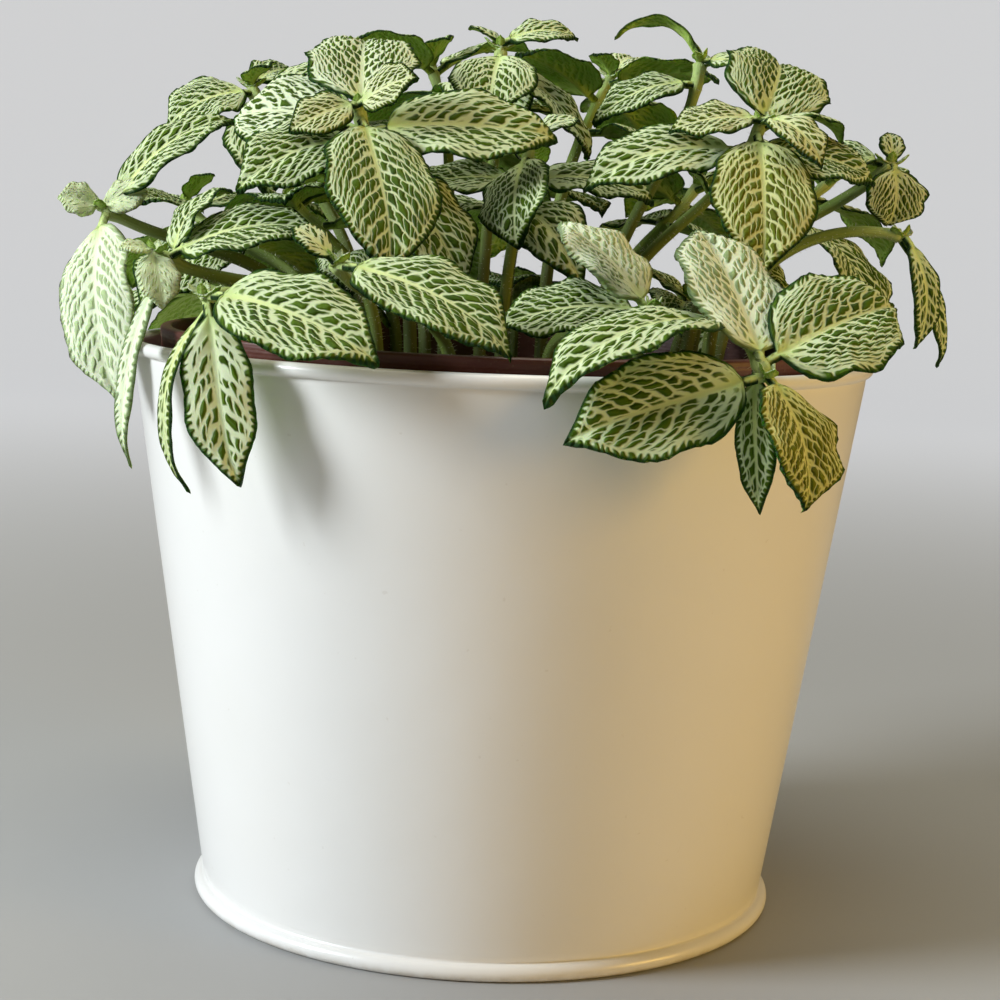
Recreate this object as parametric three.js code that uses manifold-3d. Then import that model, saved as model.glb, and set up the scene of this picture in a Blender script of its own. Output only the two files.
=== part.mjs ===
// Potted nerve plant: a white metal planter, the plastic nursery pot inside it, the
// potting soil, and the leafy stems that stand in plain holes in the soil.
// Millimetres, +Z up. The origin is the middle of the planter's flat base, and the
// side that is seen first faces -Y.

import * as THREE from 'three';
import { mergeVertices } from 'three/addons/utils/BufferGeometryUtils.js';
import Module from 'manifold-3d';

const wasm = await Module();
wasm.setup();

// ---------------------------------------------------------------- driving dimensions

const FIT_GAP = 0.3; // between pieces that rest on or in each other

// Planter: a tapered sheet-metal bucket with a rolled rim and a base bead.
const PLANTER_HEIGHT = 102.3;
const RIM_RADIUS = 68;
const RIM_BEAD = 1.2;
const WALL_TOP_RADIUS = 67.2;
const WALL_TAPER = 0.148; // radius lost per millimetre downwards
const PLANTER_WALL = 0.8;
const PLANTER_FLOOR = 1.2;
const BASE_BEAD = 1.5;
const BASE_BEAD_CENTRE = 52.6;
const PLANTER_SIDES = 48;

// Nursery pot: thin plastic with a deep lip, a little taller than the planter.
const POT_TOP = 104.5;
const POT_WALL = 1.2;
const POT_FLOOR_RADIUS = 45.6;
const POT_SHOULDER_RADIUS = 57.8;
const POT_LIP_RADIUS = 62;
const POT_LIP_DEPTH = 8;
const POT_LIP_WALL = 2.2;
const POT_EDGE = 0.6; // rounding of the lip's edges
const POT_FLOOR_EDGE = 1.5; // rounding at the foot of its wall
const POT_SIDES = 40;
const DRAIN_HOLES = 6;
const DRAIN_RADIUS = 4;
const DRAIN_CIRCLE = 30;
const DRAIN_SIDES = 10;

// Soil
const SOIL_TOP = 94;
const SOIL_LUMP = 1.1;
const SOIL_SIDES = 32;
const SOIL_RINGS = [16, 32, 45];

// Stems
const STEM_RADIUS = 1.25;
const STEM_SIDES = 5;
const STEM_STEPS = 6;
const STEM_DEPTH = 9; // how deep a stem stands in the soil
const STEM_STRAIGHT = 12; // upright stretch at its foot
const STEM_RISE = 0.5; // how far the stem keeps rising, as a share of its span
const STEM_LEAN = 0.38; // how far before its end it takes its last direction
const NODE_STEPS = 60; // fineness at which the leaf nodes are measured off
const HOLE_RADIUS = 1.9;
const HOLE_SIDES = 6;

// Leaves
const PETIOLE_SHARE = 0.12; // share of the leaf's length that is its stalk
const PETIOLE_HALF_WIDTH = 0.9;
const PETIOLE_THICKNESS = 1.6;
const ROOT_DEPTH = 1; // how far a leaf's pointed root lies behind the stem's middle
const BLADE_THICKNESS = 0.75;
const FOLD = 0.22; // rise of the blade from its midrib, as a share of half its width
const DROOP = 0.16; // fall of the blade towards its edge
const EDGE_WAVE = 0.035; // height of the waved edge, as a share of the width
const EDGE_SCALLOP = 0.04; // depth of the scalloped outline, as a share of half the width
const WAVE_TURNS = 5; // half waves and half scallops along one edge
const SCALLOP_TURNS = 6;
const LARGE_LEAF_ROWS = [0.22, 0.52, 0.8];
const SMALL_LEAF_ROWS = [0.4];
const SMALL_LEAF_LENGTH = 15;

// Clearances that keep one leafy stem off another and off the pots
const LEAF_CLEARANCE = 2.4;
const STEM_CLEARANCE = 3;
const OWN_CLEARANCE = 1.6;
const POT_CLEARANCE = 1.6;
const SOIL_CLEARANCE = 2.5;
const SAMPLE_ROWS = 13;
const SAMPLE_COLUMNS = 7;
const STEM_SAMPLES = 33;

// Each stem: name, foot [x, y], end of the stem [x, y, z], direction in which it ends,
// and its leaves. Each leaf: distance of its node below the end of the stem, azimuth,
// rise, length, width, roll about its own axis, and bow as a share of its length.
// Angles are in degrees.
const STEMS = [
  ['crown_left', [-16, -12], [-26, -22, 144], [-0.2, -0.25, 1], [
    [0, -30, 22, 13, 9.5, 60, 0.05], [0, -150, -22, 14, 9, -45, 0.1],
    [2, 92, 34, 26, 20, 0, 0.1], [2, -74, -46, 37, 19, 0, 0.08],
    [5, 2, 1, 34, 17, 45, 0.08], [5, 158, 4, 26, 19, -45, 0.12],
    [7, -160, -20, 26, 16, -35, 0.15], [10, -38, -44, 31, 15, 25, 0.1]]],
  ['crown_right', [18, -6], [44, -16, 144], [0.3, -0.2, 1], [
    [0, -170, -8, 17, 10, -35, 0.1], [0, -45, -30, 16, 9, 20, 0.2],
    [2, 72, 40, 20, 20, 28, 0.2], [2, -91, -49, 32, 18, -4, 0.08],
    [6, -166, -14, 31, 15, -35, 0.12], [7, -2, -9, 24, 14, 35, 0.12],
    [2, 28, 4, 19, 10, 10, 0.22]]],
  ['rim_right', [36, -22], [41, -66, 103], [0.3, -0.75, -0.6], [
    [1, 112, 42, 33, 17, 0, 0.06], [1, -66, -54, 24, 15.5, -15, 0.12],
    [3, 30, 20, 28.5, 20, 45, 0.08], [0.7, -164, -18, 33.8, 16.7, -61, 0.03],
    [4, -84, -76, 24, 6.5, 30, 0.1], [14.2, -142, -14, 42, 15.8, -9, 0.14]]],
  ['edge_left', [-36, 4], [-72, -10, 125], [-0.8, -0.1, 0.5], [
    [0, -160, 10, 8, 7, -60, 0.1], [0, 0, 20, 9, 7, 60, 0.1],
    [1.3, -74, -57, 38.8, 15.8, 45, 0.12], [2, 22, 38, 29, 12, 25, 0.14]]],
  ['rim_left', [-24, -28], [-47, -57, 112], [-0.5, -0.8, 0], [
    [1, -30, -14, 34, 17, 40, 0.1], [1, -46, -72, 31, 11.5, 46, 0.06],
    [5.4, -119, -73, 33, 5, 27, 0.2]]],
  ['front_left', [-30, -14], [-59, -33, 118], [-0.7, -0.5, 0.5], [
    [0, -62, -58, 11, 7.5, 10, 0.1], [0, -150, 4, 6, 4.5, -30, 0.1],
    [3, -6, 12, 27, 13, 35, 0.12], [3.7, -104, -63, 37.6, 4.9, 27, 0.1],
    [5, 40, 50, 17, 12, -10, 0.2]]],
  ['front_middle', [-8, -32], [-27, -51, 118], [-0.3, -0.6, 0.7], [
    [0, 175, 35, 9, 6, -40, 0.1], [1, -28, -21, 35, 16, 30, 0.1]]],
  ['middle_right', [8, -18], [25, -41, 112], [0.4, -0.6, 0.7], [
    [2, -172, -6, 26, 14, -35, 0.12], [2, 150, 40, 23, 15, -15, 0.1],
    [6, -110, -20, 12, 9, -20, 0.1]]],
  ['right_high', [34, 2], [69, -6, 138], [0.7, 0, 0.7], [
    [0, 100, 60, 6.5, 5, 0, 0.1], [0, -48, -84, 11.5, 12.2, 26, 0.2],
    [1, 158, 0, 20, 12, -25, 0.1]]],
  ['right_low', [38, -16], [71, -10, 125], [0.9, 0.1, -0.2], [
    [1, 20, -66, 26, 6, 60, 0.1], [0, -64, -82, 20.8, 6.6, -5, 0.2]]],
  ['top_right', [18, 14], [35, 8, 156], [0.1, 0.1, 1], [
    [0, 172, 12, 17, 6, 15, 0.3], [5, -172, -22, 21, 11, -30, 0.15],
    [1, -12, -12, 15, 10, 25, 0.15]]],
  ['top_middle', [-4, 12], [-2, 8, 157], [0, 0.05, 1], [
    [0, 150, 25, 8, 6, 0, 0.1], [0, 12, 8, 15, 9, 30, 0.15], [2, -95, -34, 22, 16, 0, 0.1],
    [4, 5, -26, 24, 14, 25, 0.12]]],
  ['centre', [0, 0], [4, -12, 140], [0.1, -0.3, 1], [
    [0, 20, 20, 10, 7, 20, 0.1], [4, -95, -40, 24, 14, 30, 0.1],
    [9, 170, -10, 26, 15, -25, 0.12], [9, 0, -5, 24, 14, 25, 0.12],
    [18, -60, -20, 26, 14, 25, 0.3]]],
  ['back_left', [-26, 14], [-50, 24, 149], [-0.5, 0.3, 1], [
    [0, -60, 20, 10, 7, 20, 0.1], [0, 60, 12, 16, 10, 20, 0.1],
    [2, -158, -24, 19, 15, -30, 0.15], [3, 10, 10, 26, 15, 30, 0.1],
    [6, -80, -35, 28, 16, 0, 0.12], [6, 80, -10, 28, 16, 0, 0.12]]],
];

// Stems of the back and the inside, whose leaves follow the plant's own rule:
// name and end of the stem.
const RULED_STEMS = [
  ['back_crown_left', [-16, 38, 155]], ['back_crown_right', [20, 36, 154]],
  ['back_low_left', [-64, 36, 126]], ['back_middle_left', [-34, 62, 132]],
  ['back_middle', [4, 70, 134]], ['back_middle_right', [40, 56, 134]],
  ['back_low_right', [64, 28, 136]], ['hanging_left', [-64, 46, 108]],
  ['hanging_back_left', [-36, 70, 108]], ['hanging_back', [4, 76, 107]],
  ['hanging_back_right', [42, 66, 107]], ['hanging_right', [62, 46, 106]],
  ['inner_left', [-40, -2, 128]],
];

// Opposite pairs of a ruled stem, from its tip down: distance below the end of the
// stem, rise, length and width. Each pair stands across the one above it.
const LEAF_PAIRS = [[0, 24, 10, 7], [3, 8, 22, 14], [8, -14, 29, 17.5], [16, -26, 31, 18]];
const FOOT_SHARE = 0.52; // how far out a ruled stem's foot stands, as a share of its reach
const HANGING_FOOT_SHARE = 0.6;
const FOOT_SCATTER = 3;
const CROWN_HEIGHT = 140; // leaves of a stem above this height droop less
const OUTWARD_DROOP = 18; // degrees by which leaves that face outwards droop
const HANGING_DROOP = 28; // and by which those that hang over the rim do

// Ways in which a leaf bends clear of its neighbours, tried in turn: change of
// azimuth, rise and roll in degrees, and scale.
const BENDS = [
  [0, 0, 0, 1], [0, 8, 0, 1], [0, -8, 0, 1], [9, 0, 0, 1], [-9, 0, 0, 1],
  [9, 8, 0, 1], [-9, 8, 0, 1], [9, -8, 0, 1], [-9, -8, 0, 1],
  [0, 16, 0, 1], [0, -16, 0, 1], [18, 0, 0, 0.95], [-18, 0, 0, 0.95],
  [0, 0, 20, 0.95], [0, 0, -20, 0.95], [18, 14, 0, 0.92], [-18, 14, 0, 0.92],
  [18, -14, 0, 0.92], [-18, -14, 0, 0.92], [0, 24, 0, 0.9], [0, -24, 0, 0.9],
  [28, 0, 15, 0.85], [-28, 0, -15, 0.85], [28, 18, 0, 0.8], [-28, 18, 0, 0.8],
  [14, 28, 0, 0.8], [-14, 28, 0, 0.8], [0, 0, 35, 0.8], [0, 0, -35, 0.8],
  [0, 10, 0, 0.65], [0, -10, 0, 0.65], [20, 20, 0, 0.6], [-20, 20, 0, 0.6], [0, 0, 0, 0.5],
];

const LEAF_SEED = 108;
const RULE_SEED = 4711;

// ---------------------------------------------------------------- helpers

const radians = THREE.MathUtils.degToRad;

// Seeded draws between two values, the same on every run.
function seededDraws(seed) {
  let state = seed;
  return (low, high) => {
    state = (state * 16807) % 2147483647;
    return low + (high - low) * state / 2147483647;
  };
}

// Merge a geometry's shared vertices and drop the triangles that collapse at an axis.
function closedGeometry(source) {
  source.deleteAttribute('normal');
  source.deleteAttribute('uv');
  const merged = mergeVertices(source, 1e-4);
  const index = merged.index.array;
  const kept = [];
  for (let i = 0; i < index.length; i += 3) {
    const [a, b, c] = [index[i], index[i + 1], index[i + 2]];
    if (a !== b && b !== c && c !== a) kept.push(a, b, c);
  }
  merged.setIndex(kept);
  return merged;
}

function toSolid(geometry) {
  const closed = closedGeometry(geometry);
  return new wasm.Manifold(new wasm.Mesh({
    numProp: 3,
    vertProperties: Float32Array.from(closed.attributes.position.array),
    triVerts: Uint32Array.from(closed.index.array),
  }));
}

function toGeometry(solid) {
  const mesh = solid.getMesh();
  const geometry = new THREE.BufferGeometry();
  geometry.setAttribute('position', new THREE.BufferAttribute(mesh.vertProperties, 3));
  geometry.setIndex(new THREE.BufferAttribute(mesh.triVerts, 1));
  geometry.computeVertexNormals();
  return geometry;
}

// The largest body of a joined solid, without loose scraps and sealed hollows.
function largestBody(solid) {
  const bodies = solid.decompose();
  return bodies.reduce((best, body) => (body.volume() > best.volume() ? body : best));
}

// Turn a profile of [radius, height] points about the Z axis.
function turned(profile, sides) {
  const points = profile.map(([radius, height]) => new THREE.Vector2(radius, height));
  return new THREE.LatheGeometry(points, sides).rotateX(Math.PI / 2);
}

// Points of a round bead's profile, from one angle to another in degrees.
function beadArc(radius, height, size, from, to, steps) {
  const points = [];
  for (let i = 0; i <= steps; i++) {
    const angle = radians(from + (to - from) * i / steps);
    points.push([radius + size * Math.cos(angle), height + size * Math.sin(angle)]);
  }
  return points;
}

function uprightCylinder(radius, sides, x, y, low, high) {
  const cylinder = new THREE.CylinderGeometry(radius, radius, high - low, sides);
  return cylinder.rotateX(Math.PI / 2).translate(x, y, (low + high) / 2);
}

function namedMesh(name, geometry, material) {
  const mesh = new THREE.Mesh(geometry, material);
  mesh.name = name;
  return mesh;
}

// ---------------------------------------------------------------- pots and soil

function planterWallRadius(height) {
  return WALL_TOP_RADIUS - (PLANTER_HEIGHT - height) * WALL_TAPER;
}

function planterGeometry() {
  const beadHeight = PLANTER_HEIGHT - RIM_BEAD;
  const wallFoot = 2 * BASE_BEAD + 0.2;
  const wallHead = beadHeight - RIM_BEAD;
  return closedGeometry(turned([
    [0, 0],
    ...beadArc(BASE_BEAD_CENTRE, BASE_BEAD, BASE_BEAD, -90, 80, 4),
    [planterWallRadius(wallFoot), wallFoot],
    [planterWallRadius(wallHead), wallHead],
    ...beadArc(RIM_RADIUS - RIM_BEAD, beadHeight, RIM_BEAD, -60, 180, 6),
    [planterWallRadius(wallHead) - PLANTER_WALL, wallHead],
    [planterWallRadius(PLANTER_FLOOR) - PLANTER_WALL, PLANTER_FLOOR],
    [0, PLANTER_FLOOR],
  ], PLANTER_SIDES));
}

const potFloor = PLANTER_FLOOR + FIT_GAP;
const potShoulder = POT_TOP - POT_LIP_DEPTH;

function nurseryPotGeometry() {
  const body = toSolid(turned([
    [0, potFloor],
    [POT_FLOOR_RADIUS - POT_FLOOR_EDGE, potFloor],
    [POT_FLOOR_RADIUS, potFloor + POT_FLOOR_EDGE],
    [POT_SHOULDER_RADIUS, potShoulder],
    [POT_LIP_RADIUS - POT_EDGE, potShoulder + POT_EDGE],
    [POT_LIP_RADIUS, POT_TOP - POT_EDGE],
    [POT_LIP_RADIUS - POT_EDGE, POT_TOP],
    [POT_LIP_RADIUS - POT_LIP_WALL, POT_TOP],
    [POT_LIP_RADIUS - POT_LIP_WALL - POT_EDGE, potShoulder + POT_LIP_WALL],
    [POT_SHOULDER_RADIUS - POT_WALL, potShoulder - POT_EDGE],
    [POT_FLOOR_RADIUS - POT_WALL, potFloor + POT_WALL],
    [0, potFloor + POT_WALL],
  ], POT_SIDES));
  let pot = body;
  for (let i = 0; i < DRAIN_HOLES; i++) {
    const angle = 2 * Math.PI * i / DRAIN_HOLES;
    const x = DRAIN_CIRCLE * Math.cos(angle);
    const y = DRAIN_CIRCLE * Math.sin(angle);
    pot = pot.subtract(toSolid(uprightCylinder(DRAIN_RADIUS, DRAIN_SIDES, x, y, 0, potFloor + 2 * POT_WALL)));
  }
  return toGeometry(pot);
}

// Lumps of the soil's surface.
function soilLump(x, y) {
  const coarse = Math.sin(0.23 * x + 1.3) * Math.cos(0.19 * y - 0.4);
  const fine = Math.sin(0.51 * x - 0.37 * y + 2.1) * Math.cos(0.44 * y + 0.29 * x);
  return SOIL_LUMP * (0.55 * coarse + 0.45 * fine);
}

function soilGeometry(feet) {
  const potSlope = (POT_SHOULDER_RADIUS - POT_FLOOR_RADIUS) / (potShoulder - potFloor - POT_FLOOR_EDGE);
  const low = potFloor + POT_WALL + FIT_GAP;
  const lowRadius = POT_FLOOR_RADIUS - POT_WALL - FIT_GAP - 0.2;
  const topRadius = lowRadius + potSlope * (SOIL_TOP - low);
  const surface = closedGeometry(turned([
    [0, low],
    [lowRadius, low],
    [topRadius, SOIL_TOP],
    ...SOIL_RINGS.map((radius) => [radius, SOIL_TOP]).reverse(),
    [0, SOIL_TOP],
  ], SOIL_SIDES));
  const position = surface.attributes.position;
  for (let i = 0; i < position.count; i++) {
    const [x, y, z] = [position.getX(i), position.getY(i), position.getZ(i)];
    if (z > SOIL_TOP - 1) position.setZ(i, z + soilLump(x, y));
  }
  let soil = toSolid(surface);
  for (const [x, y] of feet) {
    const floor = SOIL_TOP - STEM_DEPTH - FIT_GAP;
    soil = soil.subtract(toSolid(uprightCylinder(HOLE_RADIUS, HOLE_SIDES, x, y, floor, SOIL_TOP + 5)));
  }
  return toGeometry(soil);
}

// ---------------------------------------------------------------- stems

// The curved stretch of a stem, from the top of its upright foot to its end.
function stemCurve(stem) {
  const foot = new THREE.Vector3(stem.foot[0], stem.foot[1], SOIL_TOP - STEM_DEPTH + STEM_STRAIGHT);
  const end = new THREE.Vector3(...stem.end);
  const lean = new THREE.Vector3(...stem.lean).normalize();
  const span = end.distanceTo(foot);
  const rising = foot.clone().add(new THREE.Vector3(0, 0, STEM_RISE * span));
  const leaning = end.clone().addScaledVector(lean, -STEM_LEAN * span);
  return new THREE.CubicBezierCurve3(foot, rising, leaning, end);
}

function stemPoints(stem, count) {
  const low = new THREE.Vector3(stem.foot[0], stem.foot[1], SOIL_TOP - STEM_DEPTH);
  return [low, ...stemCurve(stem).getPoints(count - 1)];
}

// The point of a stem at a distance below its end.
function stemNode(stem, drop) {
  const points = stemCurve(stem).getPoints(NODE_STEPS).reverse();
  let walked = 0;
  for (let i = 1; i < points.length; i++) {
    const step = points[i].distanceTo(points[i - 1]);
    if (walked + step >= drop) {
      return points[i - 1].clone().lerp(points[i], (drop - walked) / step);
    }
    walked += step;
  }
  return points.at(-1);
}

function stemGeometry(stem) {
  const section = new THREE.Shape();
  for (let i = 0; i < STEM_SIDES; i++) {
    const angle = 2 * Math.PI * i / STEM_SIDES;
    const [x, y] = [STEM_RADIUS * Math.cos(angle), STEM_RADIUS * Math.sin(angle)];
    if (i === 0) section.moveTo(x, y);
    else section.lineTo(x, y);
  }
  section.closePath();
  const path = new THREE.CatmullRomCurve3(stemPoints(stem, STEM_STEPS + 1));
  return new THREE.ExtrudeGeometry(section, { steps: STEM_STEPS, extrudePath: path, bevelEnabled: false });
}

// ---------------------------------------------------------------- leaves

// Half the width of the blade, as a share, from its base (0) to its pointed tip (1).
function bladeOutline(u) {
  const v = u ** 0.88;
  return Math.max(0, 4 * v * (1 - v)) ** (0.5 + 0.28 * v * v);
}

// The leaf's own axes: along it, across it and out of its upper face.
function leafAxes(leaf) {
  const [azimuth, rise, roll] = [radians(leaf.azimuth), radians(leaf.rise), radians(leaf.roll)];
  const along = new THREE.Vector3(
    Math.cos(azimuth) * Math.cos(rise), Math.sin(azimuth) * Math.cos(rise), Math.sin(rise));
  const upright = new THREE.Vector3(
    -Math.cos(azimuth) * Math.sin(rise), -Math.sin(azimuth) * Math.sin(rise), Math.cos(rise));
  const sideways = along.clone().cross(upright);
  const out = upright.multiplyScalar(Math.cos(roll)).addScaledVector(sideways, Math.sin(roll));
  return { along, out, across: along.clone().cross(out) };
}

// A point of the leaf's middle surface. s runs from the stem to the tip, t from edge
// to edge, and thickness lifts the point off the middle surface.
function leafPoint(leaf, axes, s, t, thickness = 0) {
  const slope = 4 * leaf.bow * (1 - 2 * s);
  const normal = axes.out.clone().addScaledVector(axes.along, -slope).normalize();
  const u = (s - PETIOLE_SHARE) / (1 - PETIOLE_SHARE);
  const side = t > 0 ? 1 : 0;
  let half = u > 0 ? leaf.width / 2 * bladeOutline(u) : 0;
  half *= 1 + EDGE_SCALLOP * Math.sin(SCALLOP_TURNS * Math.PI * u + leaf.phase + 1.5 * side);
  if (s < 0.5) half = Math.max(half, PETIOLE_HALF_WIDTH);
  const waveTurn = WAVE_TURNS * Math.PI * u + 2 * leaf.phase + 2 * side;
  const wave = u > 0 ? EDGE_WAVE * leaf.width * Math.sin(waveTurn) : 0;
  const lift = half * (FOLD * Math.abs(t) - DROOP * t * t) + wave * t * t;
  return leaf.base.clone()
    .addScaledVector(axes.along, leaf.length * s)
    .addScaledVector(axes.out, 4 * leaf.bow * leaf.length * s * (1 - s))
    .addScaledVector(axes.across, half * t)
    .addScaledVector(normal, lift + thickness);
}

// A closed blade on its stalk, from its pointed root inside the stem to its tip. Both
// faces are split into triangles alike.
function leafGeometry(leaf) {
  const axes = leafAxes(leaf);
  const bladeRows = leaf.length < SMALL_LEAF_LENGTH ? SMALL_LEAF_ROWS : LARGE_LEAF_ROWS;
  const rows = [PETIOLE_SHARE, ...bladeRows.map((u) => PETIOLE_SHARE + u * (1 - PETIOLE_SHARE))];
  const columns = [-1, 0, 1];
  const root = leaf.base.clone().addScaledVector(axes.along, -ROOT_DEPTH);
  const corner = (row, column, face) => {
    if (row < 0) return root;
    const thickness = row === 0 ? PETIOLE_THICKNESS : BLADE_THICKNESS;
    if (row === rows.length) return leafPoint(leaf, axes, 1, 0, face * thickness / 2);
    return leafPoint(leaf, axes, rows[row], columns[column], face * thickness / 2);
  };
  const positions = [];
  const triangle = (...corners) => corners.forEach((point) => positions.push(...point.toArray()));
  for (let row = -1; row < rows.length; row++) {
    for (const column of [0, 1]) {
      for (const face of [1, -1]) {
        const near = [corner(row, column, face), corner(row, column + 1, face)];
        const far = [corner(row + 1, column, face), corner(row + 1, column + 1, face)];
        const [first, second] = face > 0 ? [0, 1] : [1, 0];
        if (row < 0) triangle(root, far[second], far[first]);
        else if (row === rows.length - 1) triangle(near[first], near[second], far[0]);
        else if (face > 0) triangle(near[0], near[1], far[0], near[1], far[1], far[0]);
        else triangle(near[0], far[0], near[1], near[1], far[0], far[1]);
      }
    }
    for (const [column, face] of [[2, 1], [0, -1]]) {
      const [nearOver, nearUnder] = [corner(row, column, face), corner(row, column, -face)];
      const [farOver, farUnder] = [corner(row + 1, column, face), corner(row + 1, column, -face)];
      if (row >= 0) triangle(nearUnder, farUnder, nearOver);
      triangle(nearOver, farUnder, farOver);
    }
  }
  const geometry = new THREE.BufferGeometry();
  geometry.setAttribute('position', new THREE.Float32BufferAttribute(positions, 3));
  return geometry;
}

// ---------------------------------------------------------------- growing the plant

// The leaves of a ruled stem: opposite pairs, each across the one above, that lift
// at the tip and droop lower down and outwards.
function ruledStem([name, end], draw) {
  const [x, y, z] = end;
  const reach = Math.hypot(x, y);
  const outward = Math.atan2(y, x);
  const hanging = name.startsWith('hanging');
  const footShare = hanging ? HANGING_FOOT_SHARE : FOOT_SHARE;
  const footX = x * footShare + draw(-FOOT_SCATTER, FOOT_SCATTER);
  const footY = y * footShare + draw(-FOOT_SCATTER, FOOT_SCATTER);
  const lean = hanging ? [x / reach, y / reach, -0.15] : [0.8 * x / reach, 0.8 * y / reach, 0.75];
  const firstAzimuth = THREE.MathUtils.radToDeg(outward) + draw(-30, 30);
  const leaves = [];
  LEAF_PAIRS.forEach(([drop, rise, length, width], pair) => {
    for (const side of [0, 180]) {
      const azimuth = firstAzimuth + 90 * (pair % 2) + side + draw(-12, 12);
      const facing = Math.cos(radians(azimuth) - outward);
      const outwardDroop = OUTWARD_DROOP * facing * (z < CROWN_HEIGHT ? 1 : 0.4);
      const hangingDroop = hanging && facing > 0.3 ? HANGING_DROOP : 0;
      const leafRise = rise - (outwardDroop + hangingDroop) + draw(-8, 8);
      const size = draw(0.85, 1.1);
      const roll = draw(-18, 18);
      leaves.push([drop, azimuth, leafRise, length * size, width * size, roll, draw(0.06, 0.16)]);
    }
  });
  return { name, foot: [footX, footY], end, lean, leaves };
}

function samplePoints(leaf) {
  const axes = leafAxes(leaf);
  const points = [];
  for (let row = 0; row < SAMPLE_ROWS; row++) {
    for (let column = 0; column < SAMPLE_COLUMNS; column++) {
      const s = row / (SAMPLE_ROWS - 1);
      const t = -1 + 2 * column / (SAMPLE_COLUMNS - 1);
      points.push(leafPoint(leaf, axes, s, t));
    }
  }
  return points;
}

function clearOfPots(points) {
  return points.every((point) => {
    const reach = Math.hypot(point.x, point.y);
    const overPot = point.z > POT_TOP + POT_CLEARANCE;
    const overRim = reach > POT_LIP_RADIUS + POT_CLEARANCE && point.z > PLANTER_HEIGHT + POT_CLEARANCE;
    const insidePot = reach < POT_SHOULDER_RADIUS - POT_LIP_WALL - POT_CLEARANCE;
    const overSoil = insidePot && point.z > SOIL_TOP + SOIL_CLEARANCE;
    const outside = reach > RIM_RADIUS + POT_CLEARANCE;
    return overPot || overRim || overSoil || outside;
  });
}

function apart(points, others, clearance) {
  const limit = clearance * clearance;
  return points.every((point) => others.every((other) => point.distanceToSquared(other) >= limit));
}

// Bend each leaf clear of what has grown before it, and leave out one that can't be.
function growLeaves(stems) {
  const grown = [];
  const stemClouds = stems.map((stem) => ({ stem, points: stemPoints(stem, STEM_SAMPLES) }));
  const ownPart = 5 * SAMPLE_COLUMNS;
  const stalkPart = 2 * SAMPLE_COLUMNS;
  const isClear = (leaf, points, centre, radius) => clearOfPots(points.slice(stalkPart))
    && grown.every((other) => {
      if (centre.distanceTo(other.centre) > radius + other.radius + LEAF_CLEARANCE) return true;
      if (other.leaf.stem === leaf.stem) {
        return apart(points.slice(ownPart), other.points.slice(ownPart), OWN_CLEARANCE);
      }
      return apart(points, other.points, LEAF_CLEARANCE);
    })
    && stemClouds.every((cloud) => cloud.stem === leaf.stem
      || apart(points, cloud.points, STEM_CLEARANCE));
  for (const stem of stems) {
    const draw = seededDraws(LEAF_SEED);
    for (const [drop, azimuth, rise, length, width, roll, bow] of stem.leaves) {
      const phase = draw(0, 6.28);
      const base = stemNode(stem, drop);
      for (const [turn, lift, twist, scale] of BENDS) {
        const leaf = {
          stem, base, bow, phase, azimuth: azimuth + turn, rise: rise + lift,
          roll: roll + twist, length: length * scale, width: width * scale,
        };
        const points = samplePoints(leaf);
        const sum = points.reduce((total, point) => total.add(point), new THREE.Vector3());
        const centre = sum.divideScalar(points.length);
        const radius = Math.max(...points.map((point) => point.distanceTo(centre)));
        if (isClear(leaf, points, centre, radius)) {
          grown.push({ leaf, points, centre, radius });
          break;
        }
      }
    }
  }
  return grown.map((item) => item.leaf);
}

// ---------------------------------------------------------------- assembly

const handSetStems = STEMS.map(([name, foot, end, lean, leaves]) => ({ name, foot, end, lean, leaves }));
const ruleDraw = seededDraws(RULE_SEED);
const stems = [...handSetStems, ...RULED_STEMS.map((row) => ruledStem(row, ruleDraw))];
const leaves = growLeaves(stems);

const enamel = new THREE.MeshStandardMaterial({ color: 0xf2efe9, roughness: 0.32, metalness: 0 });
const plastic = new THREE.MeshStandardMaterial({ color: 0x57271d, roughness: 0.5, metalness: 0 });
const peat = new THREE.MeshStandardMaterial({ color: 0x2b1e16, roughness: 0.95, metalness: 0 });
const foliage = new THREE.MeshStandardMaterial({ color: 0x6f9a45, roughness: 0.45, metalness: 0 });

const pottedNervePlant = new THREE.Group();
pottedNervePlant.add(namedMesh('planter', planterGeometry(), enamel));
pottedNervePlant.add(namedMesh('nursery_pot', nurseryPotGeometry(), plastic));
pottedNervePlant.add(namedMesh('soil', soilGeometry(stems.map((stem) => stem.foot)), peat));
for (const stem of stems) {
  const blades = leaves.filter((leaf) => leaf.stem === stem).map((leaf) => toSolid(leafGeometry(leaf)));
  const joined = blades.reduce((solid, blade) => solid.add(blade), toSolid(stemGeometry(stem)));
  pottedNervePlant.add(namedMesh(`leafy_stem_${stem.name}`, toGeometry(largestBody(joined)), foliage));
}

export default pottedNervePlant;
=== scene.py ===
"""Potted nerve plant: a white metal planter, a nursery pot, soil and leafy stems."""

import math
from dataclasses import dataclass

import bmesh
import bpy
import numpy as np
from bpy.props import FloatProperty, FloatVectorProperty, IntProperty, PointerProperty
from mathutils import Matrix, Vector, noise


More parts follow.
